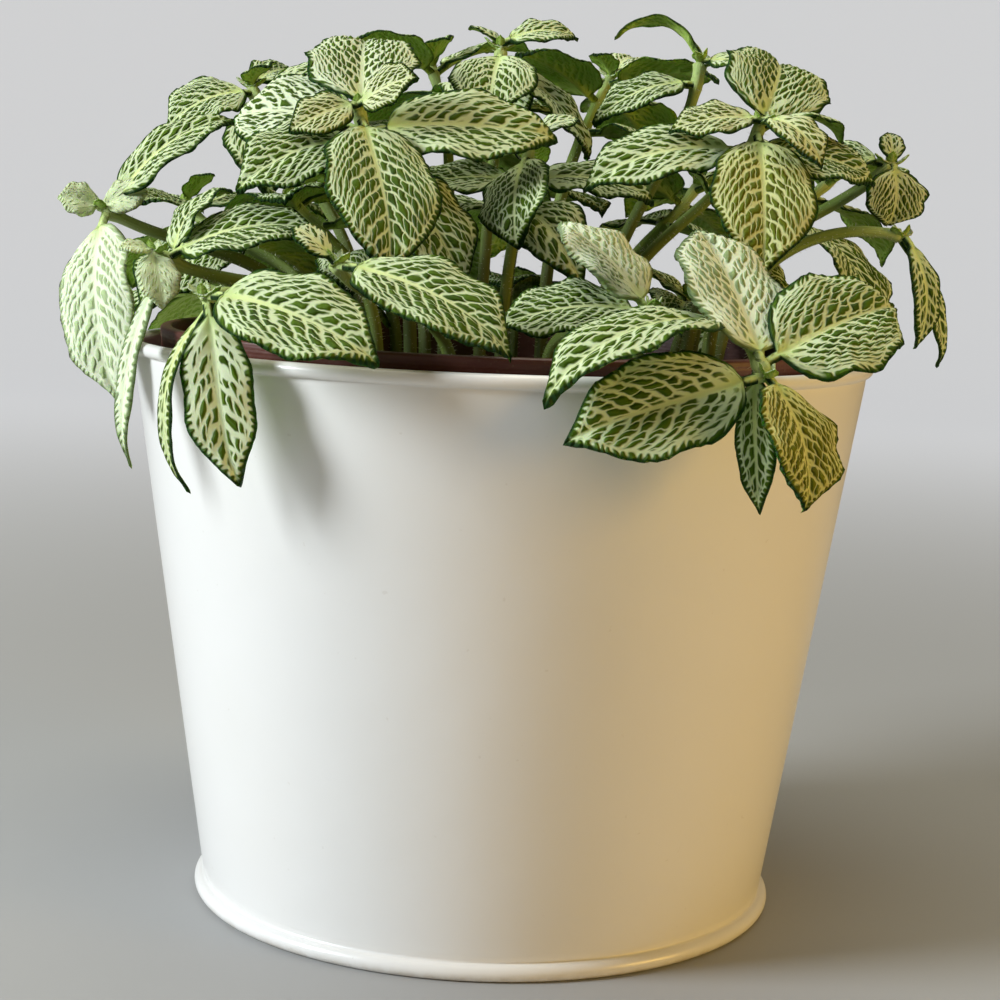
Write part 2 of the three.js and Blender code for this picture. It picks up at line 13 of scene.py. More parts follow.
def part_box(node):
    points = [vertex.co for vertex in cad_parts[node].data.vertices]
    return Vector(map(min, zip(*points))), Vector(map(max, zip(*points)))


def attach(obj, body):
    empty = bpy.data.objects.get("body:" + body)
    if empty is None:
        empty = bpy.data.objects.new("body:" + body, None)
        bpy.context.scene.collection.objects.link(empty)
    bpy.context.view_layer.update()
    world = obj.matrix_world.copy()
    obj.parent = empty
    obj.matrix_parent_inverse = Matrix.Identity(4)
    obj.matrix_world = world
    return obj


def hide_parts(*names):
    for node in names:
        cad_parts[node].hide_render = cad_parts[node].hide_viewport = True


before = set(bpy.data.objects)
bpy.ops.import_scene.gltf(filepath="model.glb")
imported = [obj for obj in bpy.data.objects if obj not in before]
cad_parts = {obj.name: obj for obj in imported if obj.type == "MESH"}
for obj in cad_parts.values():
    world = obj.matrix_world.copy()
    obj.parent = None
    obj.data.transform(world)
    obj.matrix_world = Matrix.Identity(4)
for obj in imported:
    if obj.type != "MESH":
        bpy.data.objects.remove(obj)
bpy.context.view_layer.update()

bl_info = {
    "name": "Potted Nerve Plant",
    "version": (1, 0, 0),
    "blender": (4, 5, 0),
    "location": "3D View > Sidebar > Nerve Plant",
    "description": "Builds the planter, nursery pot, soil and net-veined leafy stems",
    "category": "Add Mesh",
}

MM = 0.001

# ---------------------------------------------------------------- growth of the plant
# The stems and leaves grow by the rule that shapes the solids of the frame. All is in
# millimetres and degrees.

# Planter, nursery pot and soil
SOIL_TOP = 94.0
POT_TOP = 104.5
POT_LIP_RADIUS = 62.0
POT_LIP_WALL = 2.2
POT_SHOULDER_RADIUS = 57.8
PLANTER_HEIGHT = 102.3
RIM_RADIUS = 68.0
WALL_TAPER = 0.148
RIM_TO_WALL = 0.8
PLANTER_FLOOR = 1.2
BASE_BEAD_CENTRE = 52.6
POT_LIP_DEPTH = 8.0
POT_FLOOR_RADIUS = 45.6
POT_EDGE = 0.6
POT_FLOOR_EDGE = 1.5
DRAIN_HOLES = 6
DRAIN_RADIUS = 4.0
DRAIN_CIRCLE = 30.0
SOIL_FOOT_RADIUS = 43.9
SOIL_LUMP = 1.1

# Stems
STEM_DEPTH = 9.0
STEM_STRAIGHT = 12.0
STEM_RISE = 0.5
STEM_LEAN = 0.38
NODE_STEPS = 60
STEM_SAMPLES = 33

# Leaves
PETIOLE_SHARE = 0.12
PETIOLE_HALF_WIDTH = 0.9
ROOT_DEPTH = 1.0
FOLD = 0.22
DROOP = 0.16
EDGE_WAVE = 0.035
EDGE_SCALLOP = 0.04
WAVE_TURNS = 5
SCALLOP_TURNS = 6
WIDEST_POINT = 0.88
OUTLINE_POWER = 0.5
TIP_SHARPENING = 0.28

# How far grown things keep apart, and the draws that place them
LEAF_CLEARANCE = 2.4
STEM_CLEARANCE = 3.0
OWN_CLEARANCE = 1.6
POT_CLEARANCE = 1.6
SOIL_CLEARANCE = 2.5
SAMPLE_ROWS = 13
SAMPLE_COLUMNS = 7
LEAF_SEED = 108
RULE_SEED = 4711
DRAW_FACTOR = 16807
DRAW_MODULUS = 2147483647

# Each stem: name, foot, end, direction in which it ends, and its leaves. Each leaf:
# distance of its node below the end, azimuth, rise, length, width, roll and bow.
STEMS = (
    ("crown_left", (-16, -12), (-26, -22, 144), (-0.2, -0.25, 1), (
        (0, -30, 22, 13, 9.5, 60, 0.05), (0, -150, -22, 14, 9, -45, 0.1),
        (2, 92, 34, 26, 20, 0, 0.1), (2, -74, -46, 37, 19, 0, 0.08),
        (5, 2, 1, 34, 17, 45, 0.08), (5, 158, 4, 26, 19, -45, 0.12),
        (7, -160, -20, 26, 16, -35, 0.15), (10, -38, -44, 31, 15, 25, 0.1))),
    ("crown_right", (18, -6), (44, -16, 144), (0.3, -0.2, 1), (
        (0, -170, -8, 17, 10, -35, 0.1), (0, -45, -30, 16, 9, 20, 0.2),
        (2, 72, 40, 20, 20, 28, 0.2), (2, -91, -49, 32, 18, -4, 0.08),
        (6, -166, -14, 31, 15, -35, 0.12), (7, -2, -9, 24, 14, 35, 0.12),
        (2, 28, 4, 19, 10, 10, 0.22))),
    ("rim_right", (36, -22), (41, -66, 103), (0.3, -0.75, -0.6), (
        (1, 112, 42, 33, 17, 0, 0.06), (1, -66, -54, 24, 15.5, -15, 0.12),
        (3, 30, 20, 28.5, 20, 45, 0.08), (0.7, -164, -18, 33.8, 16.7, -61, 0.03),
        (4, -84, -76, 24, 6.5, 30, 0.1), (14.2, -142, -14, 42, 15.8, -9, 0.14))),
    ("edge_left", (-36, 4), (-72, -10, 125), (-0.8, -0.1, 0.5), (
        (0, -160, 10, 8, 7, -60, 0.1), (0, 0, 20, 9, 7, 60, 0.1),
        (1.3, -74, -57, 38.8, 15.8, 45, 0.12), (2, 22, 38, 29, 12, 25, 0.14))),
    ("rim_left", (-24, -28), (-47, -57, 112), (-0.5, -0.8, 0), (
        (1, -30, -14, 34, 17, 40, 0.1), (1, -46, -72, 31, 11.5, 46, 0.06),
        (5.4, -119, -73, 33, 5, 27, 0.2))),
    ("front_left", (-30, -14), (-59, -33, 118), (-0.7, -0.5, 0.5), (
        (0, -62, -58, 11, 7.5, 10, 0.1), (0, -150, 4, 6, 4.5, -30, 0.1),
        (3, -6, 12, 27, 13, 35, 0.12), (3.7, -104, -63, 37.6, 4.9, 27, 0.1),
        (5, 40, 50, 17, 12, -10, 0.2))),
    ("front_middle", (-8, -32), (-27, -51, 118), (-0.3, -0.6, 0.7), (
        (0, 175, 35, 9, 6, -40, 0.1), (1, -28, -21, 35, 16, 30, 0.1))),
    ("middle_right", (8, -18), (25, -41, 112), (0.4, -0.6, 0.7), (
        (2, -172, -6, 26, 14, -35, 0.12), (2, 150, 40, 23, 15, -15, 0.1),
        (6, -110, -20, 12, 9, -20, 0.1))),
    ("right_high", (34, 2), (69, -6, 138), (0.7, 0, 0.7), (
        (0, 100, 60, 6.5, 5, 0, 0.1), (0, -48, -84, 11.5, 12.2, 26, 0.2),
        (1, 158, 0, 20, 12, -25, 0.1))),
    ("right_low", (38, -16), (71, -10, 125), (0.9, 0.1, -0.2), (
        (1, 20, -66, 26, 6, 60, 0.1), (0, -64, -82, 20.8, 6.6, -5, 0.2))),
    ("top_right", (18, 14), (35, 8, 156), (0.1, 0.1, 1), (
        (0, 172, 12, 17, 6, 15, 0.3), (5, -172, -22, 21, 11, -30, 0.15),
        (1, -12, -12, 15, 10, 25, 0.15))),
    ("top_middle", (-4, 12), (-2, 8, 157), (0, 0.05, 1), (
        (0, 150, 25, 8, 6, 0, 0.1), (0, 12, 8, 15, 9, 30, 0.15), (2, -95, -34, 22, 16, 0, 0.1),
        (4, 5, -26, 24, 14, 25, 0.12))),
    ("centre", (0, 0), (4, -12, 140), (0.1, -0.3, 1), (
        (0, 20, 20, 10, 7, 20, 0.1), (4, -95, -40, 24, 14, 30, 0.1),
        (9, 170, -10, 26, 15, -25, 0.12), (9, 0, -5, 24, 14, 25, 0.12),
        (18, -60, -20, 26, 14, 25, 0.3))),
    ("back_left", (-26, 14), (-50, 24, 149), (-0.5, 0.3, 1), (
        (0, -60, 20, 10, 7, 20, 0.1), (0, 60, 12, 16, 10, 20, 0.1),
        (2, -158, -24, 19, 15, -30, 0.15), (3, 10, 10, 26, 15, 30, 0.1),
        (6, -80, -35, 28, 16, 0, 0.12), (6, 80, -10, 28, 16, 0, 0.12))),
)

# Stems of the back and the inside, whose leaves follow the plant's own rule.
RULED_STEMS = (
    ("back_crown_left", (-16, 38, 155)), ("back_crown_right", (20, 36, 154)),
    ("back_low_left", (-64, 36, 126)), ("back_middle_left", (-34, 62, 132)),
    ("back_middle", (4, 70, 134)), ("back_middle_right", (40, 56, 134)),
    ("back_low_right", (64, 28, 136)), ("hanging_left", (-64, 46, 108)),
    ("hanging_back_left", (-36, 70, 108)), ("hanging_back", (4, 76, 107)),
    ("hanging_back_right", (42, 66, 107)), ("hanging_right", (62, 46, 106)),
    ("inner_left", (-40, -2, 128)),
)
LEAF_PAIRS = ((0, 24, 10, 7), (3, 8, 22, 14), (8, -14, 29, 17.5), (16, -26, 31, 18))
FOOT_SHARE = 0.52
HANGING_FOOT_SHARE = 0.6
FOOT_SCATTER = 3
CROWN_HEIGHT = 140
OUTWARD_DROOP = 18
HANGING_DROOP = 28
CROWN_DROOP_SHARE = 0.4
FACING_OUTWARDS = 0.3
FIRST_PAIR_SCATTER = 30
AZIMUTH_SCATTER = 12
RISE_SCATTER = 8
ROLL_SCATTER = 18
SIZE_RANGE = (0.85, 1.1)
BOW_RANGE = (0.06, 0.16)

# Ways in which a leaf bends clear of its neighbours: azimuth, rise, roll and scale.
BENDS = (
    (0, 0, 0, 1), (0, 8, 0, 1), (0, -8, 0, 1), (9, 0, 0, 1), (-9, 0, 0, 1),
    (9, 8, 0, 1), (-9, 8, 0, 1), (9, -8, 0, 1), (-9, -8, 0, 1),
    (0, 16, 0, 1), (0, -16, 0, 1), (18, 0, 0, 0.95), (-18, 0, 0, 0.95),
    (0, 0, 20, 0.95), (0, 0, -20, 0.95), (18, 14, 0, 0.92), (-18, 14, 0, 0.92),
    (18, -14, 0, 0.92), (-18, -14, 0, 0.92), (0, 24, 0, 0.9), (0, -24, 0, 0.9),
    (28, 0, 15, 0.85), (-28, 0, -15, 0.85), (28, 18, 0, 0.8), (-28, 18, 0, 0.8),
    (14, 28, 0, 0.8), (-14, 28, 0, 0.8), (0, 0, 35, 0.8), (0, 0, -35, 0.8),
    (0, 10, 0, 0.65), (0, -10, 0, 0.65), (20, 20, 0, 0.6), (-20, 20, 0, 0.6), (0, 0, 0, 0.5),
)

# Leaves whose look departs from the rest, by stem and place in its list: how pale the
# blade is and how yellow.
LEAF_LOOKS = {
    ("crown_left", 0): (0.5, 0.35), ("crown_left", 1): (0.35, 0.3),
    ("crown_left", 2): (0.45, 0.0), ("crown_left", 5): (0.6, 0.0),
    ("crown_right", 0): (0.3, 0.3), ("crown_right", 1): (0.3, 0.35),
    # The strong yellow of crown_right's fourth leaf is partly its own tint and partly painted shade
    # that darkens the whole leaf.
    ("crown_right", 3): (0.0, 0.55),
    ("rim_right", 0): (0.8, 0.0), ("rim_right", 1): (0.1, 0.85),
    ("rim_left", 1): (0.45, 0.0), ("rim_left", 2): (0.0, 0.1),
    # On the big left-hand leaves (edge_left's third, front_left's fourth) the paleness is partly
    # their wide pale veins and partly painted light: the mint sheen of the strong window light.
    ("edge_left", 0): (1.0, 0.3), ("edge_left", 1): (1.0, 0.3), ("edge_left", 2): (0.87, 0.0),
    ("front_left", 0): (1.0, 0.1), ("front_left", 1): (1.0, 0.1), ("front_left", 3): (0.8, 0.0),
    ("middle_right", 1): (0.86, 0.0), ("middle_right", 2): (0.5, 0.0),
}


@dataclass
class Stem:
    """A stem's place and the leaves that it wants to grow."""

    name: str
    foot: tuple
    end: tuple
    lean: tuple
    leaves: tuple


@dataclass
class Leaf:
    """A leaf where it has grown, in millimetres and degrees."""

    stem: str
    base: np.ndarray
    azimuth: float
    rise: float
    length: float
    width: float
    roll: float
    bow: float
    phase: float
    pale: float = 0.0
    yellow: float = 0.0


def seeded_draws(seed):
    """A function that draws between two values, the same on every run."""
    state = [seed]

    def draw(low, high):
        state[0] = (state[0] * DRAW_FACTOR) % DRAW_MODULUS
        return low + (high - low) * state[0] / DRAW_MODULUS

    return draw


def ruled_stem(name, end, draw):
    """A stem whose opposite pairs of leaves stand across each other and droop outwards."""
    x, y, z = end
    reach = math.hypot(x, y)
    outward = math.atan2(y, x)
    hanging = name.startswith("hanging")
    share = HANGING_FOOT_SHARE if hanging else FOOT_SHARE
    foot = tuple(value * share + draw(-FOOT_SCATTER, FOOT_SCATTER) for value in (x, y))
    lean = (x / reach, y / reach, -0.15) if hanging else (0.8 * x / reach, 0.8 * y / reach, 0.75)
    first_azimuth = math.degrees(outward) + draw(-FIRST_PAIR_SCATTER, FIRST_PAIR_SCATTER)
    leaves = []
    for pair, (drop, rise, length, width) in enumerate(LEAF_PAIRS):
        for side in (0, 180):
            azimuth = first_azimuth + 90 * (pair % 2) + side
            azimuth += draw(-AZIMUTH_SCATTER, AZIMUTH_SCATTER)
            facing = math.cos(math.radians(azimuth) - outward)
            outward_droop = OUTWARD_DROOP * facing * (1 if z < CROWN_HEIGHT else CROWN_DROOP_SHARE)
            hanging_droop = HANGING_DROOP if hanging and facing > FACING_OUTWARDS else 0
            leaf_rise = rise - (outward_droop + hanging_droop) + draw(-RISE_SCATTER, RISE_SCATTER)
            size = draw(*SIZE_RANGE)
            roll = draw(-ROLL_SCATTER, ROLL_SCATTER)
            bow = draw(*BOW_RANGE)
            leaves.append((drop, azimuth, leaf_rise, length * size, width * size, roll, bow))
    return Stem(name, foot, end, lean, tuple(leaves))


def stem_curve(stem, count):
    """Points of the curved stretch of a stem, from its upright foot to its end."""
    foot = np.array((*stem.foot, SOIL_TOP - STEM_DEPTH + STEM_STRAIGHT))
    end = np.array(stem.end, float)
    lean = np.array(stem.lean, float)
    span = np.linalg.norm(end - foot)
    rising = foot + np.array((0, 0, STEM_RISE * span))
    leaning = end - lean / np.linalg.norm(lean) * STEM_LEAN * span
    u = np.linspace(0, 1, count)[:, None]
    v = 1 - u
    return v**3 * foot + 3 * v * v * u * rising + 3 * v * u * u * leaning + u**3 * end


def stem_points(stem, count):
    low = np.array((*stem.foot, SOIL_TOP - STEM_DEPTH))
    return np.vstack((low, stem_curve(stem, count)))


def stem_node(stem, drop):
    """The point of a stem at a distance below its end."""
    points = stem_curve(stem, NODE_STEPS + 1)[::-1]
    walked = 0.0
    for near, far in zip(points, points[1:]):
        step = np.linalg.norm(far - near)
        if walked + step >= drop:
            return near + (far - near) * (drop - walked) / step
        walked += step
    return points[-1]


def leaf_axes(leaf):
    """The leaf's own directions: along it, out of its upper face and across it."""
    azimuth, rise, roll = np.radians((leaf.azimuth, leaf.rise, leaf.roll))
    flat = np.array((math.cos(azimuth), math.sin(azimuth), 0))
    up = np.array((0, 0, 1.0))
    along = flat * math.cos(rise) + up * math.sin(rise)
    upright = up * math.cos(rise) - flat * math.sin(rise)
    out = upright * math.cos(roll) + np.cross(along, upright) * math.sin(roll)
    return along, out, np.cross(along, out)


def half_width(leaf, s, side):
    """Half the blade's width at a share s of the leaf's length, on one side of it."""
    u = (s - PETIOLE_SHARE) / (1 - PETIOLE_SHARE)
    v = np.clip(u, 0, 1) ** WIDEST_POINT
    outline = np.maximum(0, 4 * v * (1 - v)) ** (OUTLINE_POWER + TIP_SHARPENING * v * v)
    half = np.where(u > 0, leaf.width / 2 * outline, 0)
    half = half * (1 + EDGE_SCALLOP * np.sin(SCALLOP_TURNS * np.pi * u + leaf.phase + 1.5 * side))
    return np.where(s < 0.5, np.maximum(half, PETIOLE_HALF_WIDTH), half)


def leaf_surface(leaf, s, t, half, lift):
    """Points of the leaf's middle surface, lifted off it along its own normal."""
    along, out, across = leaf_axes(leaf)
    slope = 4 * leaf.bow * (1 - 2 * s)
    normal = out - along * slope[:, None]
    normal /= np.linalg.norm(normal, axis=1)[:, None]
    bowed = 4 * leaf.bow * leaf.length * s * (1 - s)
    flat = leaf.base + along * (leaf.length * s)[:, None] + across * (half * t)[:, None]
    return flat + out * bowed[:, None] + normal * lift[:, None]


def blade_lift(leaf, s, t, half, side):
    """Fold, droop and waved edge of the blade."""
    u = (s - PETIOLE_SHARE) / (1 - PETIOLE_SHARE)
    turn = WAVE_TURNS * np.pi * u + 2 * leaf.phase + 2 * side
    wave = np.where(u > 0, EDGE_WAVE * leaf.width * np.sin(turn), 0)
    return half * (FOLD * np.abs(t) - DROOP * t * t) + wave * t * t


def sample_points(leaf):
    rows = np.linspace(0, 1, SAMPLE_ROWS)
    columns = np.linspace(-1, 1, SAMPLE_COLUMNS)
    s, t = (grid.ravel() for grid in np.meshgrid(rows, columns, indexing="ij"))
    side = (t > 0).astype(float)
    half = half_width(leaf, s, side)
    return leaf_surface(leaf, s, t, half, blade_lift(leaf, s, t, half, side))


def clear_of_pots(points):
    reach = np.hypot(points[:, 0], points[:, 1])
    height = points[:, 2]
    over_pot = height > POT_TOP + POT_CLEARANCE
    over_rim = (reach > POT_LIP_RADIUS + POT_CLEARANCE) & (height > PLANTER_HEIGHT + POT_CLEARANCE)
    inside_pot = reach < POT_SHOULDER_RADIUS - POT_LIP_WALL - POT_CLEARANCE
    over_soil = inside_pot & (height > SOIL_TOP + SOIL_CLEARANCE)
    outside = reach > RIM_RADIUS + POT_CLEARANCE
    return bool(np.all(over_pot | over_rim | over_soil | outside))


def apart(points, others, clearance):
    gaps = ((points[:, None, :] - others[None, :, :]) ** 2).sum(-1)
    return gaps.min() >= clearance * clearance


def is_clear(name, points, centre, radius, grown, clouds):
    """Whether a leaf's sample points keep off the pots, the other leaves and the other stems."""
    if not clear_of_pots(points[2 * SAMPLE_COLUMNS:]):
        return False
    own = 5 * SAMPLE_COLUMNS
    for other_name, other, other_centre, other_radius in grown:
        if np.linalg.norm(centre - other_centre) > radius + other_radius + LEAF_CLEARANCE:
            continue
        if other_name == name:
            if not apart(points[own:], other[own:], OWN_CLEARANCE):
                return False
        elif not apart(points, other, LEAF_CLEARANCE):
            return False
    return all(key == name or apart(points, cloud, STEM_CLEARANCE) for key, cloud in clouds.items())


def grow_plant():
    """All stems, and for each one its leaves, bent clear of what has grown before."""
    rule_draw = seeded_draws(RULE_SEED)
    stems = [Stem(*row) for row in STEMS]
    stems += [ruled_stem(name, end, rule_draw) for name, end in RULED_STEMS]
    clouds = {stem.name: stem_points(stem, STEM_SAMPLES) for stem in stems}
    grown = []
    foliage = {stem.name: [] for stem in stems}
    for stem in stems:
        draw = seeded_draws(LEAF_SEED)
        for index, (drop, azimuth, rise, length, width, roll, bow) in enumerate(stem.leaves):
            phase = draw(0, 6.28)
            base = stem_node(stem, drop)
            pale, yellow = LEAF_LOOKS.get((stem.name, index), (0.25 if length < 14 else 0.0, 0.0))
            for turn, lift, twist, scale in BENDS:
                leaf = Leaf(stem.name, base, azimuth + turn, rise + lift, length * scale,
                            width * scale, roll + twist, bow, phase, pale, yellow)
                points = sample_points(leaf)
                centre = points.mean(0)
                radius = np.linalg.norm(points - centre, axis=1).max()
                if is_clear(stem.name, points, centre, radius, grown, clouds):
                    grown.append((stem.name, points, centre, radius))
                    foliage[stem.name].append(leaf)
                    break
    return stems, foliage


# ---------------------------------------------------------------- settings


class PlanterSettings(bpy.types.PropertyGroup):
    """Sizes and colour of the white metal planter."""

    rim_bead: FloatProperty(
        name="Rim bead", description="Radius of the rolled rim", default=1.2 * MM, unit="LENGTH")
    base_bead: FloatProperty(
        name="Base bead", description="Radius of the bead round the base", default=1.5 * MM,
        unit="LENGTH")
    wall: FloatProperty(
        name="Wall", description="Thickness of the sheet metal", default=0.8 * MM, unit="LENGTH")
    seam_width: FloatProperty(
        name="Seam width", description="Width of the lapped seam at the back", default=5 * MM,
        unit="LENGTH")
    enamel: FloatVectorProperty(
        name="Enamel", description="Colour of the white enamel", default=(0.84, 0.83, 0.795),
        subtype="COLOR", min=0, max=1)


class NurseryPotSettings(bpy.types.PropertyGroup):
    """Sizes and colour of the plastic nursery pot."""

    wall: FloatProperty(
        name="Wall", description="Thickness of the moulded wall", default=1.2 * MM, unit="LENGTH")
    plastic: FloatVectorProperty(
        name="Plastic", description="Colour of the plastic", default=(0.085, 0.022, 0.014),
        subtype="COLOR", min=0, max=1)


class SoilSettings(bpy.types.PropertyGroup):
    """Texture of the potting soil."""

    crumbs: IntProperty(
        name="Crumbs", description="Crumbs strewn over the soil", default=900, min=0)
    crumb_size: FloatProperty(
        name="Crumb size", description="Radius of a middling crumb", default=0.9 * MM,
        unit="LENGTH")
    peat: FloatVectorProperty(
        name="Peat", description="Colour of the soil", default=(0.026, 0.015, 0.009),
        subtype="COLOR", min=0, max=1)


class FoliageSettings(bpy.types.PropertyGroup):
    """Thickness, hairs and colours of the leafy stems."""

    blade: FloatProperty(
        name="Blade", description="Thickness of a leaf's blade", default=0.44 * MM, unit="LENGTH")
    stem_radius: FloatProperty(
        name="Stem radius", description="Radius of a stem at the soil", default=1.25 * MM,
        unit="LENGTH")
    stem_hairs: IntProperty(name="Stem hairs", description="Hairs on each stem", default=260, min=0)
    hair_length: FloatProperty(
        name="Hair length", description="Length of a middling hair", default=0.7 * MM,
        unit="LENGTH")
    cell: FloatVectorProperty(
        name="Cells", description="Dark green between the veins", default=(0.034, 0.074, 0.002),
        subtype="COLOR", min=0, max=1)
    cell_light: FloatVectorProperty(
        name="Light cells", description="Lighter green between the veins",
        default=(0.105, 0.190, 0.008), subtype="COLOR", min=0, max=1)
    vein: FloatVectorProperty(
        name="Veins", description="Pale colour of the net of veins", default=(0.62, 0.72, 0.42),
        subtype="COLOR", min=0, max=1)
    midrib: FloatVectorProperty(
        name="Midrib", description="Colour of the midrib", default=(0.68, 0.77, 0.34),
        subtype="COLOR", min=0, max=1)
    margin: FloatVectorProperty(
        name="Margin", description="Colour of the leaf's dark edge", default=(0.011, 0.036, 0.007),
        subtype="COLOR", min=0, max=1)


class StageSettings(bpy.types.PropertyGroup):
    """Camera and light."""

    distance: FloatProperty(
        name="Distance", description="Camera's distance in front of the origin", default=0.3899,
        unit="LENGTH")
    height: FloatProperty(
        name="Height", description="Camera's height over the floor", default=0.1275, unit="LENGTH")
    pitch: FloatProperty(
        name="Pitch", description="How far the camera looks down", default=math.radians(7.87),
        unit="ROTATION")
    roll: FloatProperty(
        name="Roll", description="How far the camera is turned about its axis",
        default=math.radians(2.16), unit="ROTATION")
    yaw: FloatProperty(
        name="Yaw", description="How far the camera is turned to the right",
        default=math.radians(0.14), unit="ROTATION")
    lens: FloatProperty(name="Lens", description="Focal length in millimetres", default=76.1)
    sweep: FloatProperty(
        name="Sweep", description="Radius at which the floor curves up into a backdrop",
        default=1.5,
        unit="LENGTH")
    floor: FloatVectorProperty(
        name="Floor", description="Colour of the floor", default=(0.38, 0.38, 0.375),
        subtype="COLOR", min=0, max=1)
    backdrop: FloatVectorProperty(
        name="Backdrop", description="Colour of the backdrop", default=(0.30, 0.30, 0.30),
        subtype="COLOR", min=0, max=1)
    glow: FloatVectorProperty(
        name="Glow", description="Glow of the backdrop as the camera sees it",
        default=(0.47, 0.48, 0.50),
        subtype="COLOR", min=0, max=1)


# ---------------------------------------------------------------- finishes

# Colours that belong to a finish and aren't a user's choice
# Mint cell colour: the own colour of new leaves, and on the big pale left-hand leaves painted
# light, the sheen of the window light.
YOUNG_AND_LIT_CELL = (0.61, 0.75, 0.41)
YOUNG_VEIN = (0.78, 0.86, 0.62)
YOUNG_BLADE = (0.66, 0.79, 0.45)
YELLOWED_CELL = (0.23, 0.20, 0.012)
# The yellowed vein colour is a real tint, and on crown_right's fourth leaf it is also painted
# shade.
YELLOWED_AND_SHADED_VEIN = (0.60, 0.53, 0.10)
LEAF_HEART = (0.58, 0.72, 0.26)
UNDERSIDE = (0.27, 0.42, 0.06)
UNDERSIDE_VEIN = (0.48, 0.60, 0.19)
STEM_TIP = (0.52, 0.66, 0.22)
STEM_GREEN = (0.23, 0.33, 0.05)
STEM_FOOT = (0.10, 0.13, 0.018)
STEM_STREAK = (0.13, 0.21, 0.03)
HAIR_SHADES = ((0.62, 0.66, 0.42), (0.82, 0.84, 0.66))
AGED_ENAMEL = (0.80, 0.785, 0.74)
FOOT_DUST = (0.50, 0.42, 0.29)
ENAMEL_SPECK = (0.55, 0.50, 0.42)
WORN_PLASTIC = (0.14, 0.045, 0.028)
SOIL_DUST = (0.16, 0.11, 0.07)
DRY_PEAT = (0.075, 0.045, 0.026)
PEAT_FIBRE = (0.17, 0.11, 0.065)
FLOOR_CLOUD = (0.3, 0.3, 0.3)
ROOM_LIGHT = (0.03, 0.03, 0.025)
SKY_SEEN = (0.72, 0.73, 0.73)


class Nodes:
    """Adds nodes to one node tree; inputs may be numbers, tuples or output sockets."""

    def __init__(self, tree):
        self.tree = tree

    def add(self, kind, inputs=None, **settings):
        node = self.tree.nodes.new(kind)
        for key, value in settings.items():
            setattr(node, key, value)
        for key, value in (inputs or {}).items():
            self.put(value, node.inputs[key])
        return node

    def put(self, value, socket):
        if isinstance(value, bpy.types.NodeSocket):
            self.tree.links.new(value, socket)
        else:
            socket.default_value = value

    def math(self, operation, *values, clamp=False):
        inputs = dict(enumerate(values))
        return self.add("ShaderNodeMath", inputs, operation=operation, use_clamp=clamp).outputs[0]

    def plus(self, first, second):
        return self.math("ADD", first, second)

    def minus(self, first, second):
        return self.math("SUBTRACT", first, second)

    def times(self, first, second):
        return self.math("MULTIPLY", first, second)

    def times_plus(self, first, second, third):
        """The first times the second, plus the third."""
        return self.math("MULTIPLY_ADD", first, second, third)

    def step(self, value, low, high, to_low=0.0, to_high=1.0):
        """A smooth step from to_low at low to to_high at high."""
        inputs = {"Value": value, "From Min": low, "From Max": high,
                  "To Min": to_low, "To Max": to_high}
        node = self.add("ShaderNodeMapRange", inputs, interpolation_type="SMOOTHSTEP")
        return node.outputs["Result"]

    def mix(self, share, first, second):
        node = self.add("ShaderNodeMix", data_type="RGBA")
        self.put(share, node.inputs[0])
        self.put(first, node.inputs[6])
        self.put(second, node.inputs[7])
        return node.outputs[2]

    def centred(self, value):
        return self.minus(value, 0.5)

    def rounded_least(self, first, second, rounding):
        return self.math("SMOOTH_MIN", first, second, rounding)

    def vector(self, x, y, z=0.0):
        return self.add("ShaderNodeCombineXYZ", {"X": x, "Y": y, "Z": z}).outputs[0]

    def split(self, vector):
        return self.add("ShaderNodeSeparateXYZ", {0: vector}).outputs

    def noise(self, vector, scale, detail=2.0, roughness=0.5):
        inputs = {"Vector": vector, "Scale": scale, "Detail": detail, "Roughness": roughness}
        return self.add("ShaderNodeTexNoise", inputs).outputs[0]

    def attribute(self, name):
        return self.add("ShaderNodeAttribute", attribute_name=name).outputs["Vector"]

    def object_place(self):
        return self.add("ShaderNodeTexCoord").outputs["Object"]

    def bump(self, height, distance, strength=1.0):
        inputs = {"Height": height, "Distance": distance, "Strength": strength}
        return self.add("ShaderNodeBump", inputs).outputs[0]


def rgba(colour):
    return (*colour, 1.0)


def new_group(name, inputs, outputs):
    """A shader node group with named sockets, its Nodes helper, and its input and output nodes."""
    tree = bpy.data.node_groups.new(name, "ShaderNodeTree")
    for label, kind, default in inputs:
        socket = tree.interface.new_socket(label, in_out="INPUT", socket_type=kind)
        if default is not None:
            socket.default_value = default
    for label, kind in outputs:
        tree.interface.new_socket(label, in_out="OUTPUT", socket_type=kind)
    nodes = Nodes(tree)
    return nodes, nodes.add("NodeGroupInput").outputs, nodes.add("NodeGroupOutput").inputs


def group_in(nodes, name, inputs):
    """Place a node group in a material with its own values."""
    node = nodes.tree.nodes.new("ShaderNodeGroup")
    node.node_tree = bpy.data.node_groups[name]
    for key, value in inputs.items():
        nodes.put(value, node.inputs[key])
    return node.outputs


def new_material(name):
    """A material, its Nodes helper and its Principled shader."""
    material = bpy.data.materials.new(name)
    material.use_nodes = True
    nodes = Nodes(material.node_tree)
    return material, nodes, material.node_tree.nodes["Principled BSDF"].inputs


